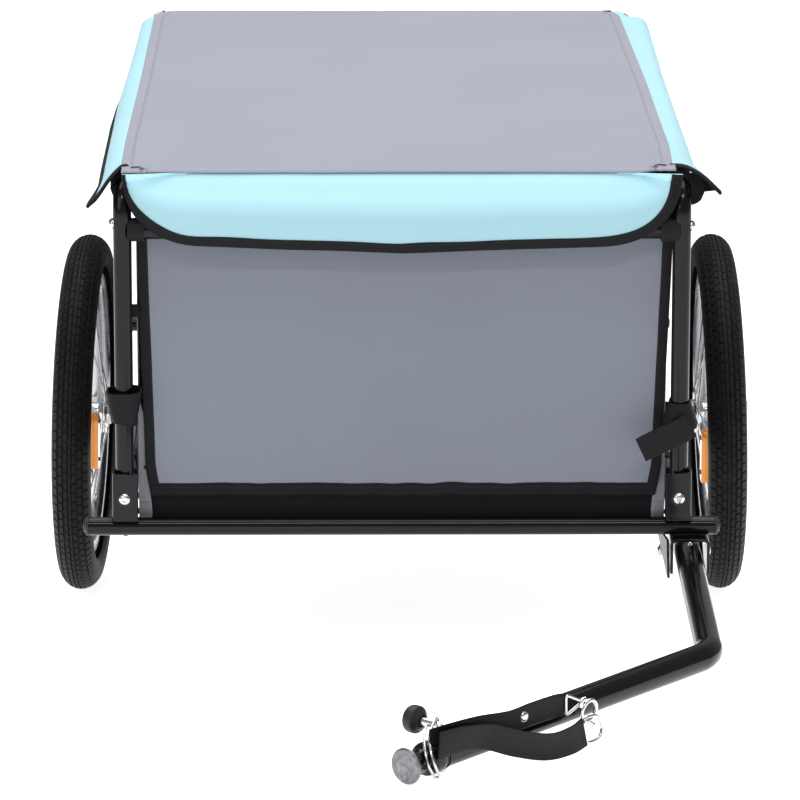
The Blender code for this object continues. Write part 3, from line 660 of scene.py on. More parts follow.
def bead(name, start, end, size=1.7):
    """A straight weld bead with ripples."""
    start, end = Vector(start), Vector(end)
    count = max(6, int((end - start).length / 0.9))
    rows = []
    way = (end - start).normalized()
    side = way.orthogonal().normalized()
    lift = way.cross(side)
    for k in range(count + 1):
        point = start.lerp(end, k / count)
        ripple = 0.8 + 0.22 * math.sin(k * 1.9) + 0.1 * wobble(k * 0.7, 3.1, 0.0)
        r = size * (0.3 if k in (0, count) else ripple)
        rows.append(circle(point, side, lift, r, 10))
    return piece(name, Shape().grid(rows, wrap=True, ends=True), "paint")


def frame_tube(name, node, path, sides=40, wall=None):
    piece(name, pipe(path, TUBE_R, sides, wall=wall), "paint", replaces=[node])


def steel_tubes():
    """Crossbars and hoops are open tubes; the tubes welded between them meet at their walls."""
    meet = TUBE_R - 2
    for end, y in ENDS.items():
        frame_tube(end + "_crossbar_tube", end + "_crossbar", [(-BAR_END, y, 0.0), (BAR_END, y, 0.0)], 48, 1.5)
        frame_tube(end + "_top_tube", end + "_top_crosstube",
                   [(-POST_X + meet, y, CROSS_Z), (POST_X - meet, y, CROSS_Z)])
    for side, sign in SIDES.items():
        x = sign * POST_X
        frame_tube(side + "_rail_tube", side + "_base_rail",
                   [(x, FRONT_Y + meet, 0.0), (x, REAR_Y - meet, 0.0)])
        hoop = [(x, FRONT_Y, POST_LOW_Z), (x, FRONT_Y, TOP_Z), (x, REAR_Y, TOP_Z), (x, REAR_Y, POST_LOW_Z)]
        frame_tube(side + "_hoop_tube", side + "_side_frame", bent(hoop, BEND_R), 40, 1.5)
        for end, y in ENDS.items():
            inward = 1 if end == "front" else -1
            weld(side + "_" + end + "_rail_weld", (x, y, 0.0), (0, inward, 0), (1, 0, 0))
            cap(side + "_" + end, sign, y)
            foot(side, end, sign, y)
            bolt(side + "_" + end + "_top_bolt", (x + sign * TUBE_R, y, CROSS_Z + (4 if sign > 0 else 7)),
                 (sign, 0, 0), 5.6, collar=True)
        weld(side + "_axle_weld", (x, 0.0, 0.0), (-sign, 0, 0), (0, 1, 0))
        axle_end(side, sign)
    frame_tube("axle_tube", "axle_crosstube", [(-POST_X + meet, 0.0, 0.0), (POST_X - meet, 0.0, 0.0)])


def cap(name, sign, y):
    """A moulded plug with a thin rim and a shallow dome."""
    reach = span("right_front_cap")[1].x - BAR_END
    profile = [(0.0, -10.0), (7.4, -10.0), (7.4, 0.3), (TUBE_R + 0.1, 0.3), (TUBE_R + 0.1, 2.2),
               (TUBE_R - 1.2, 3.6), (TUBE_R - 2.4, 3.7), (TUBE_R - 4.0, reach - 0.8), (0.0, reach - 0.2)]
    shape = turned(rounded(profile, 0.6, 2, closed=False), 40)
    piece(name + "_plug", shape, "plastic",
          place=facing((sign * BAR_END, y, 0.0), (sign, 0, 0)), replaces=[name + "_cap"])


def foot(side, end, sign, y):
    """A folded channel of 2.5 mm sheet with a flared lower edge, welded to the crossbar."""
    low, high = span(side + "_" + end + "_foot")
    half_x, half_y, plate = (high.x - low.x) / 2, (high.y - low.y) / 2, 2.5
    tall = 3.0 if side == "right" else 1.5
    out, web = sign * half_x, sign * (half_x - plate)
    inn = -sign * half_x
    outer = rounded([(inn, -half_y), (out, -half_y), (out, half_y), (inn, half_y)], 4.0, 5, closed=False)
    inside = half_y - plate
    inner = rounded([(inn, inside), (web, inside), (web, -inside), (inn, -inside)], 1.8, 5, closed=False)
    outline = outer + inner
    rows = []
    for z in (low.z, low.z + 1.2, low.z + 4, low.z + 9, high.z - 6, high.z - 1.0, high.z):
        flare = 1.0 + 0.035 * (1 - ease((z - low.z) / 9.0))
        rise = tall * ease((z - high.z + 8) / 8.0)
        row = []
        for p in outline:
            lift = rise * ease((sign * p.x - half_x + 7) / 7.0)
            row.append(Vector((sign * POST_X + p.x * flare, y + p.y * flare, z + lift)))
        rows.append(row)
    shape = Shape().grid(rows, wrap=True, ends=True)
    piece(side + "_" + end + "_bracket", shape, "paint", bevel=0.35,
          replaces=[side + "_" + end + "_foot"])
    outward = -1 if end == "front" else 1
    head_y = y + outward * half_y
    pivot_z = middle(side + "_" + end + "_foot_bolt", 2)
    bolt(side + "_" + end + "_foot_bolt", (sign * POST_X, head_y, pivot_z), (0, outward, 0), 6.6, ring=True,
         nut_at=2 * half_y)
    for face in (-1, 1):
        bead(f"{side}_{end}_foot_bead_{'front' if face < 0 else 'back'}",
             (sign * POST_X - half_x, y + face * (half_y - 5.5), TUBE_R - 1.2),
             (sign * POST_X + half_x, y + face * (half_y - 5.5), TUBE_R - 1.2), 1.9)


def bolt(name, at, along, head_r, ring=False, collar=False, nut_at=None):
    """A dome-headed socket screw, with a black washer ring, a collar, or a nut at its far end."""
    dome = [(0.0, 2.6), (head_r * 0.38, 2.6), (head_r * 0.38, 4.3), (head_r * 0.62, 3.9), (head_r * 0.85, 2.6),
            (head_r, 0.9), (head_r, 0.1), (0.0, 0.1)]
    shape = turned(dome, 36, hexes=(1, 2))
    if collar:
        turned([(4.6, 0.1), (4.6, -1.0), (0.0, -1.0)], 24, shape)
    if nut_at is not None:
        depth = -nut_at
        nut = [(0.0, depth - 0.2), (7.4, depth - 0.2), (7.4, depth - 1.4), (5.6, depth - 1.4),
               (5.7, depth - 5.6), (5.0, depth - 6.2), (3.6, depth - 6.2), (3.6, depth - 7.6),
               (0.0, depth - 7.6)]
        turned(nut, 36, shape, hexes=(3, 4))
    if ring:
        washer = [(head_r + 0.2, 0.9), (head_r + 1.1, 0.9), (head_r + 1.5, 0.05), (head_r - 0.4, 0.05)]
        turned(washer, 36, shape, look=1)
    looks = ("zinc", "plastic") if ring else "zinc"
    return piece(name + "_screw", shape, looks, place=facing(at, along), bevel=0.12,
                 replaces=[name])


def axle_end(side, sign):
    """The welded axle sleeve, the axle and its nuts."""
    joint = JOINTS[side + "_wheel_spin"]
    centre = TRAILER.inverted() @ Vector(joint["pos_m"]) * 1000
    out = (TRAILER.to_3x3().inverted() @ Vector(joint["axis"])).normalized() * sign
    start = POST_X + TUBE_R - abs(centre.x)
    profile = [(6.2, 0.0), (22.0, 0.0), (22.0, 4.0), (12.5, 4.6), (12.0, 8.0), (12.0, 27.0), (6.2, 27.0)]
    shape = turned(rounded(profile, 0.7, 2), 48, closed=True)
    piece(side + "_axle_sleeve", shape, "paint", place=facing(centre + out * start, out),
          replaces=[side + "_axle_bracket"])
    low, high = span(side + "_wheel_axle")
    length = high.x - low.x - 2.0
    axle = [(0.0, 0.0), (6.0, 0.0), (6.0, length - 9.0), (10.2, length - 9.0), (10.2, length - 7.4),
            (9.2, length - 7.4), (9.2, length - 2.2), (8.2, length - 1.4), (5.0, length - 1.4),
            (5.0, length - 0.2), (4.4, length), (0.0, length)]
    shape = turned(axle, 48, hexes=(5, 6, 7))
    piece(side + "_axle_and_nut", shape, "zinc", place=facing(centre + out * (start + 1), out),
          bevel=0.15, replaces=[side + "_wheel_axle"])


# Wheels

SPOKES = 20
TREAD_PITCHES = 112
TREAD_ROWS = [
    # Section angle in degrees, depth of the groove there, and the row's phase in pitches.
    (-129, 0, 0), (-118, 0, 0), (-104, 0, 0), (-92, 0, 0), (-80, 0, 0), (-70, 0, 0), (-64, 0.0, 0),
    (-62, 0.2, 1), (-60, 1, 1), (-44, 1, 1), (-42, 2, 1), (-38, 2, 0.5), (-36, 1, 0.5), (-24, 1, 0.5),
    (-22, 2, 0.5), (-18, 2, 0), (-16, 1, 0), (-8, 1, 0), (-6.5, 2, 0), (-4, 2, 0), (-3, 0, 0), (0, -0.3, 0),
]


def wheel_place(side, sign):
    """Local Z points out of the trailer along the axle and local Y back along the ground."""
    joint = JOINTS[side + "_wheel_spin"]
    out = Vector(joint["axis"]).normalized() * sign
    back = Vector((0.0, 1.0, 0.0))
    back = (back - out * back.dot(out)).normalized()
    return placed(Vector(joint["pos_m"]), back.cross(out), back, out)


def tyre_shape(outer_r):
    """Open C of rubber; 1 in TREAD_ROWS has cross grooves, 2 is a groove all the way round."""
    section_r, wall, depth = 21.5, 4.0, 1.7
    centre_r = outer_r - section_r
    mirrored = [(-angle, kind, phase + 0.25) for angle, kind, phase in reversed(TREAD_ROWS[:-1])]
    steps = [(0.0, 1), (0.05, 0), (0.86, 0), (0.91, 1)]
    rows = []
    for angle, kind, phase in TREAD_ROWS + mirrored:
        a = math.radians(angle)
        row = []
        for pitch in range(TREAD_PITCHES):
            for share, low in steps:
                turn = 2 * math.pi * (pitch + share + phase % 1) / TREAD_PITCHES
                sunk = depth if kind == 2 else depth * 0.75 * low * kind if 0 < kind <= 1 else 0.0
                if kind < 0:
                    sunk = 0.35 * low
                if abs(angle) > 64:
                    sunk = -0.35 * (abs(abs(angle) - 92) < 3) - 0.25 * (abs(abs(angle) - 118) < 3)
                size = section_r - sunk
                row.append(polar(centre_r + size * math.cos(a), turn, size * math.sin(a)))
        rows.append(row)
    inside = []
    for angle in range(129, -130, -20):
        a = math.radians(angle)
        size = section_r - wall
        inside.append([polar(centre_r + size * math.cos(a), 2 * math.pi * k / len(row), size * math.sin(a))
                       for k in range(len(row))])
    return Shape().grid(rows + inside, wrap=True, loop=True)


def wheel(side, sign):
    body = side + "_wheel"
    place = wheel_place(side, sign)
    low, high = span(side + "_tyre", place)
    outer_r = (high.y - low.y) / 2
    rim_high = span(side + "_rim", place)[1]
    rim_r, rim_half = rim_high.y, rim_high.z
    piece(side + "_tread_tyre", tyre_shape(outer_r), "rubber", body, place, replaces=[side + "_tyre"], angle=50)
    inner_r = 143.0
    rim = [(inner_r + 2.5, -rim_half), (inner_r, -8.0), (inner_r - 0.6, 0.0), (inner_r, 8.0),
           (inner_r + 2.5, rim_half), (rim_r, rim_half), (rim_r + 0.4, rim_half - 0.7), (rim_r, rim_half - 1.4),
           (inner_r + 8, rim_half - 1.6), (inner_r + 7, 0.0), (inner_r + 8, 1.6 - rim_half),
           (rim_r, 1.4 - rim_half), (rim_r + 0.4, 0.7 - rim_half), (rim_r, -rim_half)]
    piece(side + "_alloy_rim", turned(rounded(rim, 1.0, 2), 144, closed=True), "alloy", body, place,
          replaces=[side + "_rim"])
    hub(side, body, place)
    spokes(side, body, place, inner_r)
    reflector(side, body, place)
    valve(side, body, place, inner_r)


def hub(side, body, place):
    half = span(side + "_hub_and_spokes", place)[1].z
    profile = [(6.3, -half), (11.0, -half), (13.5, -half + 3), (13.5, -24.0), (23.5, -23.4), (24.0, -22.0),
               (23.5, -20.6), (14.0, -19.6), (11.4, -14.0), (11.0, 0.0), (11.4, 14.0), (14.0, 19.6),
               (23.5, 20.6), (24.0, 22.0), (23.5, 23.4), (13.5, 24.0), (13.5, half - 3), (11.0, half),
               (6.3, half)]
    piece(side + "_hub_shell", turned(rounded(profile, 0.8, 2), 72, closed=True), "zinc", body, place,
          replaces=[side + "_hub_and_spokes"])


def spokes(side, body, place, inner_r):
    """Ten spokes each side, laced across one another, each with its nipple."""
    shape = Shape()
    for k in range(SPOKES):
        flange = 1 if k % 2 else -1
        lean = 1 if k % 4 < 2 else -1
        at = 2 * math.pi * k / SPOKES
        hole = at - lean * math.radians(64.0)
        start = polar(21.0, hole, flange * (22.0 + lean * 2.2))
        head = start + Vector((0.0, 0.0, -flange * lean * 4.0))
        end = polar(inner_r + 0.5, at, flange * 3.0)
        elbow = start.lerp(end, 0.03)
        pipe([head, start, elbow, end], 0.95, 8, shape)
        near = end.lerp(start, 12.0 / (end - start).length)
        pipe([near, end], 1.8, 10, shape, look=1)
    piece(side + "_spoke_set", shape, ("zinc", "zinc"), body, place)


def reflector(side, body, place):
    """A lens with a domed front and back in a thin frame, clipped between spokes."""
    cad = frame["nodes"][side + "_reflector"]
    back = place.inverted()
    points = [back @ vertex.co * 1000 for vertex in cad.data.vertices]
    centre = sum(points, Vector()) / len(points)
    length, width, thick = 64.0, 20.0, 12.0
    radial = Vector((centre.x, centre.y, 0.0)).normalized()
    tangent = Vector((-radial.y, radial.x, 0.0))
    turn = Matrix((radial, tangent, Vector((0, 0, 1)))).transposed().to_4x4()
    inward = Vector((0.0, 0.0, -18.0))
    own = place @ Matrix.Translation((centre + inward) / 1000) @ turn
    outline = rounded([(-width / 2, -length / 2), (width / 2, -length / 2), (width / 2, length / 2),
                       (-width / 2, length / 2)], 8.0, 6)
    rows = []
    for z, size in ((-0.5, 0.86), (-0.42, 0.96), (-0.15, 1.0), (0.15, 1.0), (0.42, 0.96), (0.5, 0.86)):
        rows.append([Vector((p.x * size, p.y * (0.5 + size / 2), z * thick)) for p in outline])
    shape = Shape().grid(rows, wrap=True, ends=True)
    piece(side + "_amber_lens", shape, "amber", body, own, replaces=[side + "_reflector"], angle=30)
    clip = Shape()
    for end in (-1, 1):
        tape([(-3.0, end * 22.0, -7.2), (-3.0, end * 22.0, 7.2)], (1, 0, 0), 7.0, 3.2, clip)
    piece(side + "_reflector_clips", clip, "plastic", body, own)


def valve(side, body, place, inner_r):
    foot_at = polar(inner_r, math.radians(200.0))
    profile = [(0.0, -2.0), (4.2, -2.0), (4.0, 6.0), (3.4, 18.0), (4.0, 19.0), (4.2, 26.0), (3.2, 28.0),
               (0.0, 28.0)]
    piece(side + "_valve", turned(rounded(profile, 0.8, 2, closed=False), 20), "plastic", body,
          facing(foot_at, -foot_at, place))


# Tow arm and hitch

def tow_bracket():
    """A folded channel under the crossbar; its left cheek is flared and runs to a point."""
    low, high = span("tow_bracket")
    x = (low.x + high.x) / 2
    half, plate = (high.x - low.x) / 2, 3.0
    outer = rounded([(-half, low.z), (-half, high.z), (half, high.z), (half, low.z)], 6.5, 6, closed=False)
    web, top = half - plate, high.z - plate
    inner = rounded([(web, low.z), (web, top), (-web, top), (-web, low.z)], 3.5, 6, closed=False)
    outline = [Vector((p.x + x, p.y)) for p in outer + inner]
    rows = []
    for y in (low.y, low.y + 1.0, low.y + 20.0, high.y - 20.0, high.y - 1.0, high.y):
        rise = 12.0 * ease((y - high.y + 30.0) / 30.0)
        rows.append([Vector((p.x, y, p.y + (rise if p.y < low.z + 2 else 0.0))) for p in outline])
    shape = Shape().grid(rows, wrap=True, ends=True)
    piece("tow_channel", shape, "paint", bevel=0.4, replaces=["tow_bracket"])
    cheek = rounded([(high.y - 2, high.z - 2), (low.y + 6, high.z - 2), (low.y + 2, low.z - 6),
                     (low.y + 12, low.z)], 2.0, 3)
    rows = []
    for offset in (0.0, 2.6):
        row = []
        for p in cheek:
            flare = 9.0 * ease((p.y - low.z) / 38.0) * ease((p.x - low.y) / 30.0)
            row.append(Vector((low.x - 0.2 - offset - flare, p.x, p.y)))
        rows.append(row)
    piece("tow_cheek", Shape().grid(rows, wrap=True, ends=True), "paint", bevel=0.3)
    bolt("tow_pivot_bolt", (high.x, ARM_PIVOT.y, ARM_PIVOT.z), (1, 0, 0), 6.6, ring=True,
         nut_at=high.x - low.x + 3.0)
    for end, y in (("front", FRONT_Y - 4.5), ("back", FRONT_Y + 4.5)):
        bead("tow_bead_" + end, (low.x + 5, y, high.z + 1.0), (high.x - 5, y, high.z + 1.0), 1.8)
    piece("tow_screw", turned([(0.0, 1.0), (1.6, 1.0), (2.4, 0.2), (2.4, -0.3), (0.0, -0.3)], 20), "zinc",
          place=facing((x, low.y - 0.2, high.z - 5.0), (0, -1, 0)))


def tow_arm():
    to_trailer = TRAILER.inverted() @ HITCH
    tube_start = span("hitch_coupler", HITCH)[1].y - 38.0
    nose = to_trailer @ Vector((0.0, tube_start / 1000, 0.0)) * 1000
    line = (to_trailer.to_3x3() @ Vector((0.0, 1.0, 0.0))).normalized()
    share = (ARM_PIVOT.x - nose.x) / line.x
    elbow = nose + line * share
    tail = Vector((ARM_PIVOT.x, ARM_PIVOT.y + 14.0, ARM_PIVOT.z))
    path = bent([tail, elbow, nose], 55.0, 20)
    piece("tow_tube", pipe(path, ARM_R, 56, wall=1.6), "paint", "tow_arm", replaces=["tow_arm"])
    collar = [(ARM_R + 0.2, -1.2), (ARM_R + 0.9, -0.8), (ARM_R + 0.9, 0.8), (ARM_R + 0.2, 1.2)]
    seam_at = nose + line * 4.0
    piece("tube_end_bead", turned(rounded(collar, 0.4, 2), 48, closed=True), "paint", "tow_arm",
          facing(seam_at, line))
    coupler()
    pin_and_bail()
    straps_on_arm()


def coupler():
    """Spool for the bicycle's hitch: its worn face and edge are bare metal."""
    back = span("hitch_coupler", HITCH)[1].y
    profile = [(0.0, 0.6), (11.0, 0.6), (14.5, 0.0), (16.6, 0.3), (17.5, 1.5), (17.4, 2.6)]
    neck = [(17.4, 2.6), (16.8, 4.0), (13.0, 6.6), (10.9, 10.0), (10.4, 14.0), (10.4, 18.0), (11.2, 22.5),
            (13.4, 24.6), (15.3, 26.5), (16.2, 29.0), (16.3, 34.0), (16.2, 40.0), (15.2, 44.2), (13.8, 45.6),
            (12.1, 45.9), (12.1, back - 1.0), (11.4, back), (0.0, back)]
    shape = turned(rounded(profile, 0.8, 2, closed=False), 72, look=1)
    turned(rounded(neck, 1.5, 3, closed=False), 72, shape)
    piece("hitch_spool", shape, ("paint", "worn"), "tow_arm", facing((0, 0, 0), (0, 1, 0), HITCH),
          replaces=["hitch_coupler"])


PIN_Y = middle("hitch_pin", 1, HITCH)
PIN_LOW_Z = span("hitch_pin", HITCH)[0].z
PIN_TOP_Z = 26.0


def pin_and_bail():
    path = bent([(0, PIN_Y, PIN_LOW_Z), (0, PIN_Y, PIN_TOP_Z), (-24.0, PIN_Y, PIN_TOP_Z)], 8.0, 10)
    shape = pipe(path, 4.0, 28)
    piece("bent_pin", shape, "zinc", "hitch_pin", HITCH, replaces=["hitch_pin"])
    grip = [(0.0, -0.5), (6.2, -0.5), (7.4, 0.4), (9.6, 2.4), (12.6, 4.2), (13.5, 6.0), (13.4, 12.0),
            (12.4, 14.6), (9.0, 16.2), (4.0, 17.0), (0.0, 17.1)]
    piece("pin_knob", turned(rounded(grip, 1.0, 2, closed=False), 48), "plastic", "hitch_pin",
          facing((-24.3, PIN_Y, PIN_TOP_Z), (-1, 0, 0), HITCH), replaces=["pin_grip"])
    route = [(-10.0, -5.8, 26.0), (-8.0, -14.0, 27.0), (0.0, -26.0, 20.0), (9.0, -35.0, 10.0),
             (14.0, -37.0, 0.0), (15.0, -32.0, -9.0), (11.0, -24.0, -15.5), (3.0, -16.0, -19.5),
             (5.0, -12.0, -19.5), (14.0, -20.0, -15.0), (18.0, -28.0, -8.5), (17.5, -32.5, 1.0),
             (12.0, -31.0, 11.5), (2.0, -21.0, 22.5), (-5.0, -6.0, 31.0), (-9.0, 3.0, 31.0),
             (-10.0, 5.9, 28.0), (-10.0, 5.9, 26.0)]
    wire = smooth([Vector((x, y + PIN_Y, z)) for x, y, z in route], 8)
    piece("bail_wire", pipe(wire, 1.35, 16), "zinc", "pin_bail", HITCH, replaces=["pin_bail"])


def straps_on_arm():
    """The safety strap loops behind the arm, comes back in front of it and ends at its ring."""
    route = [(18.5, 27.0, 17.0), (20.0, 60.0, 16.0), (22.0, 95.0, 10.0), (27.0, 133.0, -5.0),
             (31.0, 174.0, -17.0), (31.0, 208.0, -19.0), (26.0, 234.0, -18.0)]
    path = smooth(route, 10)
    ups = [Vector((0.10 + 0.35 * math.sin(k / len(path) * 4.4), 0.12, 1.0)).normalized()
           for k in range(len(path))]
    strap = piece("front_strap", tape(path, ups, 28.0, 1.8, lanes=14), "webbing", "tow_arm", HITCH,
                  replaces=["safety_strap"])
    tab_route = [(8.0, 26.0, 20.0), (13.0, 50.0, 21.5), (15.0, 88.0, 19.5), (16.5, 130.0, 14.5),
                 (17.0, 162.0, 15.0), (16.5, 198.0, 14.0), (17.0, 214.0, 12.0)]
    path = smooth(tab_route, 8)
    tab = piece("upper_strap", tape(path, (0.05, 0.0, 1.0), 23.0, 1.8, lanes=12), "webbing", "tow_arm", HITCH,
                replaces=["strap_tab"])
    stud = [(0.0, 2.3), (2.5, 2.1), (4.6, 1.2), (5.5, 0.0), (5.5, -0.6), (0.0, -0.6)]
    piece("rivet_head", turned(rounded(stud, 0.5, 2, closed=False), 32), "zinc", "tow_arm",
          facing((18.0, 153.0, 15.0), (1, 0, 0), HITCH), replaces=["strap_rivet"])
    triangle = rounded([(19.0, 214.0, 22.0), (18.5, 215.0, 1.0), (22.0, 236.0, 11.0)], 5.0, 6)
    closed_wire("triangle_ring", triangle, 1.5, ["tab_ring"])
    dee = rounded([(26.0, 236.0, -31.0), (24.0, 235.0, -5.0), (23.0, 258.0, -7.0), (25.0, 263.0, -19.0),
                   (26.5, 258.0, -30.0)], 8.0, 6)
    closed_wire("strap_d_ring", dee, 1.7, ["strap_ring"])
    hook = [(24.0, 252.0, -16.0), (22.0, 248.0, -13.0), (21.5, 239.0, -9.0), (22.0, 235.0, -3.0),
            (22.5, 236.0, 4.0), (23.0, 243.0, 9.5), (23.2, 251.0, 8.5), (23.4, 255.0, 2.0), (23.2, 253.0, -5.0)]
    shape = pipe(smooth(hook, 8), 2.1, 16)
    turned_eye = [(22.2, 232.5, 6.0), (22.4, 234.0, 12.0), (22.6, 239.0, 13.0)]
    pipe(smooth(turned_eye, 6), 2.4, 16, shape)
    pipe(smooth([(23.3, 252.0, -6.0), (23.0, 248.0, -9.0), (22.6, 243.0, -10.0)], 5), 1.6, 12, shape)
    piece("swivel_hook", shape, "zinc", "tow_arm", HITCH, replaces=["snap_hook"])


def closed_wire(name, path, radius, replaces):
    """A ring of round wire along a closed route."""
    count = len(path)
    rows = []
    centre = sum(path, Vector()) / count
    normal = (path[0] - centre).cross(path[count // 3] - centre).normalized()
    for k, point in enumerate(path):
        way = (path[(k + 1) % count] - path[k - 1]).normalized()
        side = way.cross(normal).normalized()
        rows.append(circle(point, side, side.cross(way), radius, 14))
    return piece(name, Shape().grid(rows, wrap=True, loop=True), "zinc", "tow_arm", HITCH, replaces=replaces)


# Cloth

def cloth_piece(name, rows, look, thick, replaces=(),
                body="trailer_frame"):
    """A grid of points as a sheet of cloth."""
    made = piece(name, Shape().grid(rows), look, body, thick=thick, replaces=replaces)
    return made


def edging(name, edge, beside, width, half=1.3):
    """Tape folded over the edge of a cloth; beside are the cloth's points next to the edge."""
    rows, marks, run = [], [], 0.0
    for k, (point, inner, normal) in enumerate(zip(edge, *edge_frames(edge, beside))):
        run += (point - edge[k - 1]).length if k else 0.0
        w = width * (1 + 0.05 * wobble(run * 0.02, width, len(name)))
        section = [(w, 0.7), (w - 0.7, 1.0), (0.8, 1.05), (-0.7, 0.0), (0.8, -1.05), (w - 0.7, -1.0), (w, -0.7)]
        rows.append([point + inner * a + normal * b * half for a, b in section])
        marks.append([(abs(a) / 1000, run / 1000) for a, b in section])
    return piece(name, Shape().grid(rows, wrap=True, ends=True, marks=marks), "binding")


def edge_frames(edge, beside):
    """Directions into the cloth and out of it along an edge; beside are points just inside the cloth."""
    inward, normals = [], []
    for way, point, inner in zip(headings(edge), edge, beside):
        normal = way.cross(inner - point).normalized()
        normals.append(normal)
        inward.append(normal.cross(way).normalized())
    return inward, normals


def wrapped(name, strips, half=1.3, body="trailer_frame"):
    """Tape folded over a curved edge; each strip lists points on the cloth from its edge inward."""
    edge = [strip[0] for strip in strips]
    rows, marks, run = [], [], 0.0
    for k, (strip, way) in enumerate(zip(strips, headings(edge))):
        run += (edge[k] - edge[k - 1]).length if k else 0.0
        normals = [way.cross(b - a).normalized() for a, b in zip(strip, strip[1:])]
        normals.append(normals[-1])
        nose = edge[k] - (strip[1] - strip[0]).normalized() * 0.8
        top = [p + n * half for p, n in zip(strip, normals)]
        under = [p - n * half for p, n in zip(strip, normals)]
        rows.append(top[::-1] + [nose] + under)
        reach = [(p - edge[k]).length / 1000 for p in strip]
        marks.append([(a, run / 1000) for a in reach[::-1] + [0.0] + reach])
    return piece(name, Shape().grid(rows, wrap=True, ends=True, marks=marks), "binding", body)


def listed(table, at):
    """Look a value up in (place, value) pairs, straight between them."""
    for (a, low), (b, high) in zip(table, table[1:]):
        if at <= b:
            return low + (high - low) * max(0.0, (at - a) / (b - a))
    return table[-1][1]


# Edges of the roof sheet and pull of the side flaps, by their share of the way from front to rear.
ROOF_EDGE = {
    "left": [(0.0, -285.0), (0.05, -289.0), (0.16, -289.5), (0.57, -285.6), (0.95, -284.0), (1.0, -283.5)],
    "right": [(0.0, 278.0), (0.15, 280.5), (0.3, 278.2), (0.5, 275.8), (0.72, 271.0), (0.95, 266.0),
              (1.0, 265.5)],
}
FLAP_PULL = {
    "left": [(0.0, 0.0), (0.5, 0.0), (0.57, -2.0), (0.85, -8.0), (1.0, -9.0)],
    "right": [(0.0, -3.0), (0.2, -4.0), (0.37, -7.0), (0.61, -10.0), (1.0, -10.0)],
}


def roof():
    """The grey top of the cover, hemmed at its sides and bar-tacked at its front corners."""
    length = ROOF_HIGH.y - ROOF_LOW.y

    def point(u, v):
        left, right = listed(ROOF_EDGE["left"], v), listed(ROOF_EDGE["right"], v)
        x = left + (right - left) * u
        ends = 10.0 * ease((u - 0.93) / 0.06) - 1.5 * ease(0.2 - u * 8)
        y = ROOF_LOW.y + length * v + ends * ease(1 - v * 12)
        tight = math.sin(math.pi * v) * math.sin(math.pi * u)
        fold = wobble(x * 0.006, y * 0.004, 1.7) * 1.5 + wobble(x * 0.02, y * 0.012, 4.1) * 0.35
        pucker = wobble(x * 0.09, y * 0.05, 8.8) * 0.7 * (ease(1 - v * 9) * ease(abs(u - 0.5) * 8 - 3.0))
        front = 1.1 * wobble(x * 0.012, 2.2, 0.4) * ease(1 - v * 20)
        corner = max(0.0, abs(u - 0.5) * 2 - 0.93) / 0.07 * max(0.0, v - 0.965) / 0.035
        return Vector((x - math.copysign(7.0 * corner, u - 0.5), y - 9.0 * corner + front,
                       ROOF_Z - 0.1 - 2.6 * tight + fold * (0.25 + tight) + pucker))

    rows = surface(96, 120, point)
    for side, k, step in (("left", 0, 1), ("right", 96, -1)):
        edge = [row[k] for row in rows]
        inward, normals = edge_frames(edge, [row[k + step] for row in rows])
        hem = []
        for point, inner, normal in zip(edge, inward, normals):
            lift = normal if normal.z > 0 else -normal
            section = ((-0.4, 0.2), (0.2, 1.15), (HEM * 1000 - 1, 1.2), (HEM * 1000, 0.3))
            hem.append([point + inner * a + lift * b for a, b in section])
        marks = [[(a / 1000, j / 128) for a in (-0.4, 0.2, 11.0, 12.0)] for j in range(len(hem))]
        piece(side + "_roof_hem", Shape().grid(hem, marks=marks), "hem")
    for side, k, step in (("left", 0, 1), ("right", 96, -1)):
        corner = []
        for j in range(9):
            row = []
            for i in range(13):
                rise = 1.3 + 0.7 * wobble(i * 0.9, j * 0.8, 2.0 + step) - 2.0 * (j == 0)
                row.append(rows[0][k] + Vector((step * (-3.0 + 26.0 * i / 12), -2.5 + 21.0 * j / 8, rise)))
            corner.append(row)
        piece(side + "_corner_patch", Shape().grid(corner), "hem", thick=0.6)
        tacks = Shape()
        for x, y, dx, dy in ((6, 14, 9, 2), (7, 10, 10, 4), (16, 3, 2, 8), (18, 6, 3, -3)):
            start = rows[0][k] + Vector((step * x, y, 2.4))
            tape([start, start + Vector((step * dx, dy, 0.2))], (0, 0, 1), 0.8, 1.0, tacks)
        piece(side + "_bar_tacks", tacks, "thread")
    cloth_piece("roof_sheet", rows, "roof_cloth", 0.9,
                ["roof_panel"])


FLAP_HALF = 287.0
FLAP_STRAIGHT = 200.0
FLAP_DROP = 89.0


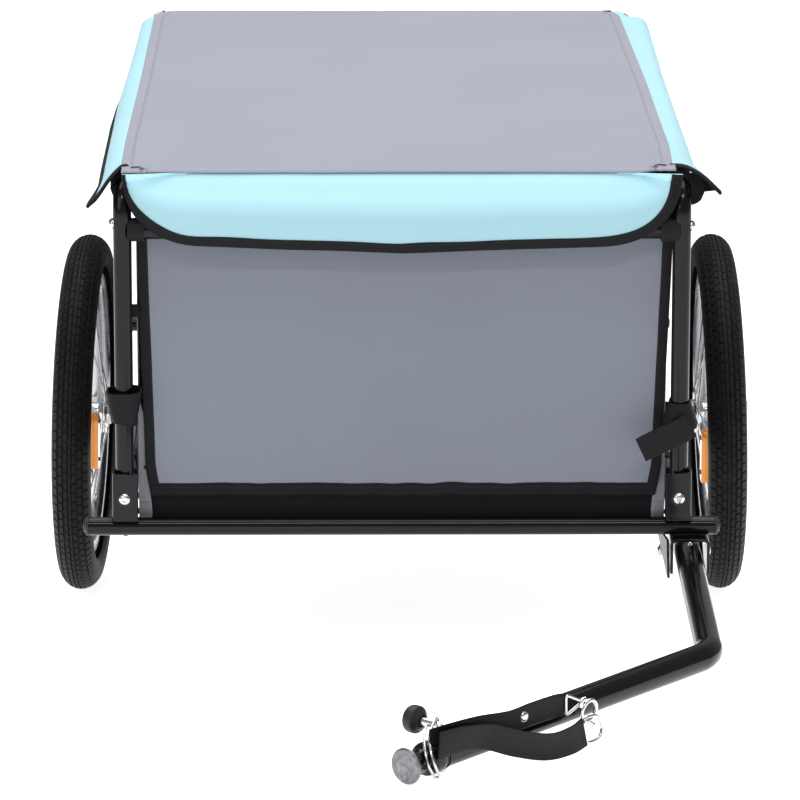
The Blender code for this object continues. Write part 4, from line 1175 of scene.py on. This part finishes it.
def end_flap(name, facing_y, body):
    """A flap that bulges over the roof's end and has rounded lower corners."""
    front = facing_y < 0
    top_y = ROOF_LOW.y + 3.5 if front else ROOF_HIGH.y - 3.5
    curve = [Vector((0.0, 0.0))]
    for k in range(140):
        angle = math.radians(38 + 54 * ease(k / 32) + 16 * ease((k - 30) / 60))
        curve.append(curve[-1] + Vector((math.cos(angle), math.sin(angle))))

    def on_flap(x, s):
        s = max(0.0, s)
        point = curve[int(s)].lerp(curve[int(s) + 1], s - int(s))
        ripple = (0.9 * wobble(x * 0.011, s * 0.02, 3.0) + 0.5 * wobble(x * 0.03, s * 0.03, 9.0)) * ease(s / 30)
        crease = wobble(x * 0.05, s * 0.06 + x * 0.04, 7.0) * ease((abs(x) - 225) / 40) * ease(s / 8)
        out = point.x + ripple + crease - 11.0 * ease((abs(x) - 205) / 90)
        if not front:
            x = 0.93 * x - 9.0
        return Vector((x, top_y + math.copysign(out, facing_y), ROOF_Z - 1.2 - point.y))

    edge = []
    for k in range(19):
        a = math.radians(90 * k / 18)
        reach = math.cos(a) ** 0.82
        edge.append((FLAP_STRAIGHT + (FLAP_HALF - FLAP_STRAIGHT) * reach, math.sin(a) ** 0.82))
    middle_part = [(-FLAP_STRAIGHT + 2 * FLAP_STRAIGHT * k / 50, 1.0) for k in range(1, 50)]
    edge = [(-x, share) for x, share in edge] + middle_part + edge[::-1]
    edge = [Vector((x, (FLAP_DROP - 0.035 * abs(x)) * share * (1 + 0.012 * wobble(x * 0.013, 5.5, 0.0))))
            for x, share in edge]
    rows = [[on_flap(p.x, p.y * j / 28) for p in edge] for j in range(29)]
    strips = []
    for k, (p, way) in enumerate(zip(edge, headings(edge))):
        inner = Vector((way.y, -way.x))
        width = 11.0 + 1.2 * wobble(p.x * 0.02, 1.0, 4.0)
        width *= 1.0 if p.x > 0 else 0.3 + 0.7 * ease(p.y / 60 - 0.2)
        strips.append([on_flap(p.x + inner.x * d * width, p.y + inner.y * d * width)
                       for d in (0.0, 0.2, 0.45, 0.75, 1.0)])
    tape_piece = wrapped(name + "_edging", strips, body=body)
    sheet = cloth_piece(name + "_cloth", rows, "flap_cloth", 0.9,
                        [name], body)
    return sheet, tape_piece


SIDE_PLAIN = [(268.0, 378.0), (281.0, 378.4), (291.0, 378.9), (300.5, 374.6), (306.5, 365.5), (309.5, 355.0),
              (311.5, 344.0)]
SIDE_EAR = {
    "left": [(268.0, 378.0), (282.0, 378.4), (292.5, 375.5), (301.5, 367.0), (309.0, 356.5), (315.0, 348.5),
             (320.0, 341.0)],
    "right": [(268.0, 378.0), (286.0, 378.7), (299.0, 376.0), (311.0, 370.0), (319.0, 364.5), (325.0, 359.5),
              (330.0, 355.0)],
}


def side_flap(side, sign):
    """Hangs over the top tube; its front end opens out into an ear, its rear end follows the bend."""
    plain = smooth([(x, 0.0, z) for x, z in SIDE_PLAIN], 4)
    ear = smooth([(x, 0.0, z) for x, z in SIDE_EAR[side]], 4)
    rows = []
    for j in range(141):
        v = j / 140
        y = ROOF_LOW.y + 1.0 + (ROOF_HIGH.y - ROOF_LOW.y - 2.0) * v
        share = 1 - ease((y - ROOF_LOW.y - 14.0) / 60.0)
        tail = min(45.0, max(0.0, y - REAR_Y + BEND_R))
        bend = BEND_R + TUBE_R
        drop = bend - math.sqrt(bend * bend - tail * tail)
        row = []
        for k, (a, b) in enumerate(zip(plain, ear)):
            s = k / (len(plain) - 1)
            p = a.lerp(b, share)
            wave = s * (0.7 + 0.7 * wobble(y * 0.009, s * 1.2, 11.0 + sign))
            if sign < 0:
                wave += 3.0 * ease((s - 0.8) / 0.2) * ease((0.55 - v) / 0.15)
            start = abs(listed(ROOF_EDGE[side], v)) - 8.0 - SIDE_PLAIN[0][0]
            pull = listed(FLAP_PULL[side], v) * 1.15 * ease(s * 1.05 - 0.1)
            x = p.x + wave * s + start * (1 - ease(s * 2.6)) + pull
            front = 24.0 * (1 - ease(s * 1.25)) * ease(1 - v * 9)
            row.append(Vector((sign * (x - 11.0 * ease(tail / 45) * s), y + front,
                               p.z + 0.15 * wave - drop * ease((s - 0.1) / 0.35))))
        rows.append(row)
    edge = [row[-1] for row in rows]
    pieces = [edging(side + "_side_edging", edge, [row[-2] for row in rows], 11.0)]
    for end, order, first in (("front", rows, 0), ("rear", rows[::-1], 4)):
        strips = [[row[k] for row in order[:3]] for k in range(first, len(plain))]
        pieces.append(wrapped(f"{side}_{end}_ear_edging", strips, 1.5))
    cloth_piece(side + "_side_cloth", rows, "blue_cloth", 0.9,
                [side + "_side_flap"])


def corner_lining(side, sign):
    """Black lining that turns down inside the cover's front corner, behind the post."""
    reach = 311.0 if sign > 0 else 300.0
    low_z = 339.0 if sign > 0 else 344.0

    def point(u, v):
        x = 262.0 + (reach - 262.0) * u
        floor_z = low_z + 14.0 * (1 - math.sqrt(max(0.0, 1 - max(0.0, u - 0.6) ** 2 / 0.16)))
        floor_z += 1.5 * wobble(u * 3, 0.3, sign)
        z = 376.5 + (floor_z - 376.5) * v - 7.0 * ease(u * 2 - 0.9) * (1 - v)
        return Vector((sign * x, FRONT_Y + 13.5 + 1.5 * wobble(u * 2, v * 2, 4.0) - 1.5 * v, z))

    rows = surface(14, 14, point)
    tape_piece = edging(side + "_lining_edging", rows[-1], rows[-2], 8.0, 1.1)
    cloth_piece(side + "_corner_lining", rows, "black_cloth", 0.8)


def panel_half(z, sign):
    """Half-width of the front panel at a height: it narrows towards the floor."""
    share = ease((z - 20.0) / 330.0) * 0.5 + (z - 36.0) / 640.0
    foot_in = 7.0 * ease((70.0 - z) / 60.0)
    return (266.0 if sign < 0 else 269.0) + (8.0 if sign < 0 else 11.0) * share - foot_in


def front_panel():
    """Hangs from the front of the cover, bound with black tape on three sides."""
    low, high = span("front_panel")

    def point(u, v):
        side = -1 if u < 0.5 else 1
        z_low = low.z - 5.5 + 1.8 * wobble(u * 9, 1.0, 5.0) + 0.9 * wobble(u * 26, 2.0, 1.0)
        z = high.z + (z_low - high.z) * v
        x = side * panel_half(z, side) * abs(2 * u - 1)
        slack = math.sin(math.pi * u) * (0.35 + 0.65 * v)
        y = low.y - 1.0 + 2.6 * wobble(x * 0.004, z * 0.006, 2.0) * slack
        y += 0.5 * wobble(x * 0.014, z * 0.02, 6.0) * slack
        y += 2.4 * ease(v * 6 - 5) * wobble(u * 7, 3.0, 1.0)
        return Vector((x, y, z))

    rows = surface(108, 72, point)
    for side, k, step in (("left", 0, 1), ("right", 108, -1)):
        edge, beside = [row[k] for row in rows], [row[k + step] for row in rows]
        edging(side + "_panel_edging", edge, beside, 10.0)
    edging("low_panel_edging", rows[-1], rows[-2], 13.0, 1.5)
    cloth_piece("front_panel_cloth", rows, "grey_cloth", 0.9,
                ["front_panel"])


# Height of the tray along the trailer: it hangs between the crossbars and lies on the axle tube.
FLOOR_LINE = [(-468.0, 1.5), (-440.0, -0.5), (-240.0, -4.0), (-60.0, 8.0), (-12.0, 11.8), (12.0, 11.8),
              (60.0, 8.5), (220.0, 0.0), (390.0, 1.5), (415.0, 3.0)]


def bag():
    """One wall of cloth round three sides, turned in at the front, over a sagging floor."""
    low, high = span("cargo_bag")
    side_x, corner = high.x - 2.0, 38.0
    rows = []
    levels = 40
    for j in range(levels + 1):
        z = low.z - 5.0 + (high.z - low.z + 5.0) * j / levels
        row = []
        turn_in = (13.0 + 3.5 * wobble(z * 0.05, 3.0, 0.0)) * (1 - ease((z - 78.0) / 70.0))
        for sign in (-1, 1):
            half = []
            for k in range(5):
                x = side_x + 4.0 - turn_in * (1 - k / 4)
                half.append(Vector((sign * x, low.y - 1.5 + 0.8 * k / 4, z)))
            run = high.y - corner - low.y
            for k in range(1, 61):
                y = low.y + run * k / 60
                swell = 3.4 * math.sin(math.pi * k / 60) * math.sin(math.pi * j / levels)
                hang = 1.8 * wobble(y * 0.012, z * 0.008, 5.0 + sign) + 0.6 * wobble(y * 0.04, z * 0.02, 8.0)
                near = ease(k / 4)
                half.append(Vector((sign * (side_x + 4.0 * (1 - near) + (hang - swell) * near), y, z)))
            for k in range(1, 9):
                a = math.radians(90 * k / 8)
                half.append(Vector((sign * (side_x - corner + corner * math.cos(a)),
                                    high.y - corner + corner * math.sin(a), z)))
            across = side_x - corner
            for k in range(1, 21):
                x = across * (1 - k / 20)
                bow = 3.0 * math.sin(math.pi * j / levels) * math.sin(math.pi * k / 40)
                half.append(Vector((sign * x, high.y - bow + 1.3 * wobble(sign * x * 0.01, z * 0.01, 9.0), z)))
            row.append(half)
        rows.append(row[0] + row[1][-2::-1])
    tapes = [edging("bag_top_edging", rows[-1], rows[-2], 14.0, 1.5)]
    cloth_piece("bag_wall", rows, "wall_cloth", 1.0,
                ["cargo_bag"])

    def floor_point(u, v):
        x = (side_x - 1.0) * (2 * u - 1)
        y = low.y - 1.0 + (high.y - low.y) * v
        side_lift = ease(abs(2 * u - 1) * 6 - 5.0) * ease(v * 30)
        over = listed(FLOOR_LINE, y)
        lift = 0.8 * wobble(x * 0.012, y * 0.012, 1.0)
        return Vector((x, y, over + (TUBE_R + 2.5 - over) * side_lift + lift * ease(v * 20)))

    def lip_point(u, v):
        x = (side_x - 1.0) * (2 * u - 1)
        y = low.y - 1.0 + 2.5 * math.sin(math.pi * v) + 1.2 * wobble(x * 0.02, v * 2, 3.0)
        return Vector((x, y, FLOOR_LINE[0][1] + v * (60.0 + 2.5 * wobble(x * 0.012, 1.0, 7.0))))

    floor = surface(60, 60, floor_point)
    lip = surface(60, 14, lip_point)[1:]
    lip_tape = edging("tray_lip_edging", lip[-1], lip[-2], 10.0, 1.1)
    cloth_piece("floor_tray", lip[::-1] + floor, "black_cloth", 1.2)


def loop_round(name, centre, tie, y):
    """A webbing loop from the cloth round a tube that runs along Y, and back."""
    radius = 10.1
    centre, tie = Vector((centre[0], 0.0, centre[1])), Vector((tie[0], 0.0, tie[1]))
    to_tie = tie - centre
    spread = math.acos(min(1.0, radius / to_tie.length))
    heading = math.atan2(to_tie.z, to_tie.x)
    route = [tie + to_tie.normalized() * 8.0 + Vector((0.6, 0, 0.6))]
    for k in range(25):
        a = heading + spread + (2 * math.pi - 2 * spread) * k / 24
        route.append(centre + Vector((math.cos(a), 0.0, math.sin(a))) * radius)
    route.append(tie + to_tie.normalized() * 8.0 - Vector((0.6, 0, 0.6)))
    route = [p + Vector((0.0, y, 0.0)) for p in route]
    return piece(name, tape(route, (0.0, 1.0, 0.0), 26.0, 0.9), "webbing")


def bag_loops():
    """The bag hangs from the hoops and is held down to the base rails by webbing loops."""
    low, high = span("cargo_bag")
    for side, sign in SIDES.items():
        for k in range(5):
            y = FRONT_Y + 60.0 + (REAR_Y - FRONT_Y - 120.0) * k / 4
            loop_round(f"{side}_top_loop_{k}", (sign * POST_X, TOP_Z), (sign * (high.x - 3), high.z - 16), y)
            loop_round(f"{side}_low_loop_{k}", (sign * POST_X, 0.0), (sign * (high.x - 3), low.z + 8), y)
    for side, sign, size, middle_x in (("left", -1, 17.0, 274.0), ("right", 1, 19.0, 276.0)):
        route = []
        for k in range(25):
            a = 2 * math.pi * k / 24
            r = TUBE_R + 1.4 + (2.2 if sign > 0 else 1.2) * max(0.0, -math.sin(a))
            route.append((sign * middle_x, FRONT_Y + r * math.cos(a), CROSS_Z + r * math.sin(a) + 1.0))
        piece(side + "_corner_tie", tape(route, (1.0, 0.0, 0.0), size, 1.4), "webbing")
    link = [(-262.0, FRONT_Y + 12.0, 228.0), (-274.0, FRONT_Y + 12.0, 228.0), (-284.0, FRONT_Y + 11.0, 228.0)]
    piece("left_wall_link", tape(smooth(link, 4), (0.0, 0.0, 1.0), 14.0, 1.6), "webbing")


def post_strap(side, sign, rings, replaces):
    """A webbing band round a post; rings are (height, half-width, half-depth, tilt)."""
    shape = Shape()
    rows, marks = [], []
    skin = [(1.0, ring_at) for ring_at in rings] + [(0.9, ring_at) for ring_at in rings[::-1]]
    for size, (z, half_x, half_y, tilt) in skin:
        row, mark = [], []
        for k in range(40):
            a = 2 * math.pi * k / 40
            c, s = math.cos(a), math.sin(a)
            square = (abs(c) ** 3.2 + abs(s) ** 3.2) ** (-1 / 3.2)
            dent = 1 + 0.03 * wobble(a * 1.3, z * 0.06, 2.0 + sign)
            row.append(Vector((sign * POST_X + half_x * size * c * square * dent,
                               FRONT_Y - 1.5 + half_y * size * s * square * dent,
                               z + tilt * c + 1.5 * s + 0.8 * wobble(a, 1.0, z * 0.02))))
            mark.append((z / 1000, a * half_x / 1000))
        rows.append(row)
        marks.append(mark)
    shape.grid(rows, wrap=True, loop=True, marks=marks)
    return piece(side + "_post_webbing", shape, "webbing", replaces=replaces)


def post_straps():
    post_strap("left", -1, [(147.0, 18.5, 15.5, 0.8), (143.0, 18.2, 15.2, 0.8), (134.0, 17.2, 14.6, 0.4),
                            (124.0, 15.0, 13.5, -0.5), (116.0, 13.0, 12.5, -1.5), (113.0, 12.4, 12.3, -2.0)],
               ["left_post_strap"])
    post_strap("right", 1, [(135.0, 10.6, 11.4, 0.0), (131.0, 11.8, 12.0, 0.3), (122.0, 14.8, 13.4, 1.0),
                            (113.0, 17.6, 14.6, 2.0), (108.0, 19.0, 15.2, 3.0), (106.0, 18.6, 15.0, 3.2)],
               ["right_post_strap"])
    tail = [(299.0, FRONT_Y - 15.0, 112.0), (288.0, FRONT_Y - 18.5, 106.0), (272.0, FRONT_Y - 20.5, 99.0),
            (257.0, FRONT_Y - 21.0, 92.0), (247.0, FRONT_Y - 23.0, 87.0)]
    path = smooth(tail, 6)
    ups = [Vector((-0.38, -0.1 - 0.1 * k / len(path), 0.92)).normalized() for k in range(len(path))]
    piece("right_loose_end", tape(path, ups, 28.0, 1.8, lanes=12), "webbing")


# Studio

def camera():
    pitch, yaw = math.radians(7.13), math.radians(-0.57)
    ahead = Vector((0.0, math.cos(pitch), -math.sin(pitch)))
    right = Vector((1.0, 0.0, 0.0))
    for one in (ahead, right):
        one.rotate(Quaternion((0.0, 0.0, 1.0), yaw))
    up = right.cross(ahead)
    eye = AXLE_MIDDLE - ahead * 6.1648 + right * 0.00284 + up * 0.01259
    lens = bpy.data.cameras.new("view")
    lens.lens = 245.8
    lens.sensor_width = 36.0
    lens.clip_end = 300.0
    made = linked("view", lens)
    made.matrix_world = placed(eye, right, up, -ahead)
    bpy.context.scene.camera = made


def area_light(name, at, towards, size, power):
    lamp = bpy.data.lights.new(name, "AREA")
    lamp.shape = "RECTANGLE"
    lamp.size, lamp.size_y = size
    lamp.energy = power
    aim = Vector(towards) - Vector(at)
    turn = aim.to_track_quat("-Z", "Y").to_matrix().to_4x4()
    linked(name, lamp).matrix_world = Matrix.Translation(at) @ turn


def studio():
    bpy.context.scene.view_settings.view_transform = "Standard"
    world = bpy.data.worlds.new("white_room")
    world.use_nodes = True
    background = world.node_tree.nodes["Background"]
    background.inputs["Color"].default_value = (1.0, 1.0, 1.0, 1.0)
    background.inputs["Strength"].default_value = 0.36
    bpy.context.scene.world = world
    area_light("overhead", (0.0, 0.2, 2.8), (0.0, 0.2, 0.0), (3.0, 3.0), 105.0)
    area_light("front_left", (-2.4, -3.0, 2.0), (0.0, 0.0, 0.3), (2.0, 2.0), 30.0)
    area_light("front_strip", (0.6, -4.6, 4.4), (0.0, -0.3, 0.3), (4.0, 0.2), 95.0)
    half = 120.0
    mesh = bpy.data.meshes.new("floor")
    mesh.from_pydata([(-half, -half, 0.0), (half, -half, 0.0), (half, half, 0.0), (-half, half, 0.0)], [],
                     [(0, 1, 2, 3)])
    floor = linked("floor", mesh)
    graph = Graph("floor")
    tone = graph.blend(graph.noise(3.0, 2.0), (0.93, 0.93, 0.93), (0.95, 0.95, 0.95))
    graph.set(Base_Color=tone, Roughness=0.9, Specular_IOR_Level=0.1)
    graph.set(Emission_Color=(1.0, 1.0, 1.0, 1.0), Emission_Strength=0.9)
    mesh.materials.append(graph.material)


camera()
studio()
steel_tubes()
for wheel_side, wheel_sign in SIDES.items():
    wheel(wheel_side, wheel_sign)
tow_bracket()
tow_arm()
roof()
for cloth_part in end_flap("front_flap", -1, None):
    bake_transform(cloth_part)
end_flap("rear_flap", 1, "trailer_frame")
for cover_side, cover_sign in SIDES.items():
    side_flap(cover_side, cover_sign)
    corner_lining(cover_side, cover_sign)
front_panel()
bag()
bag_loops()
post_straps()
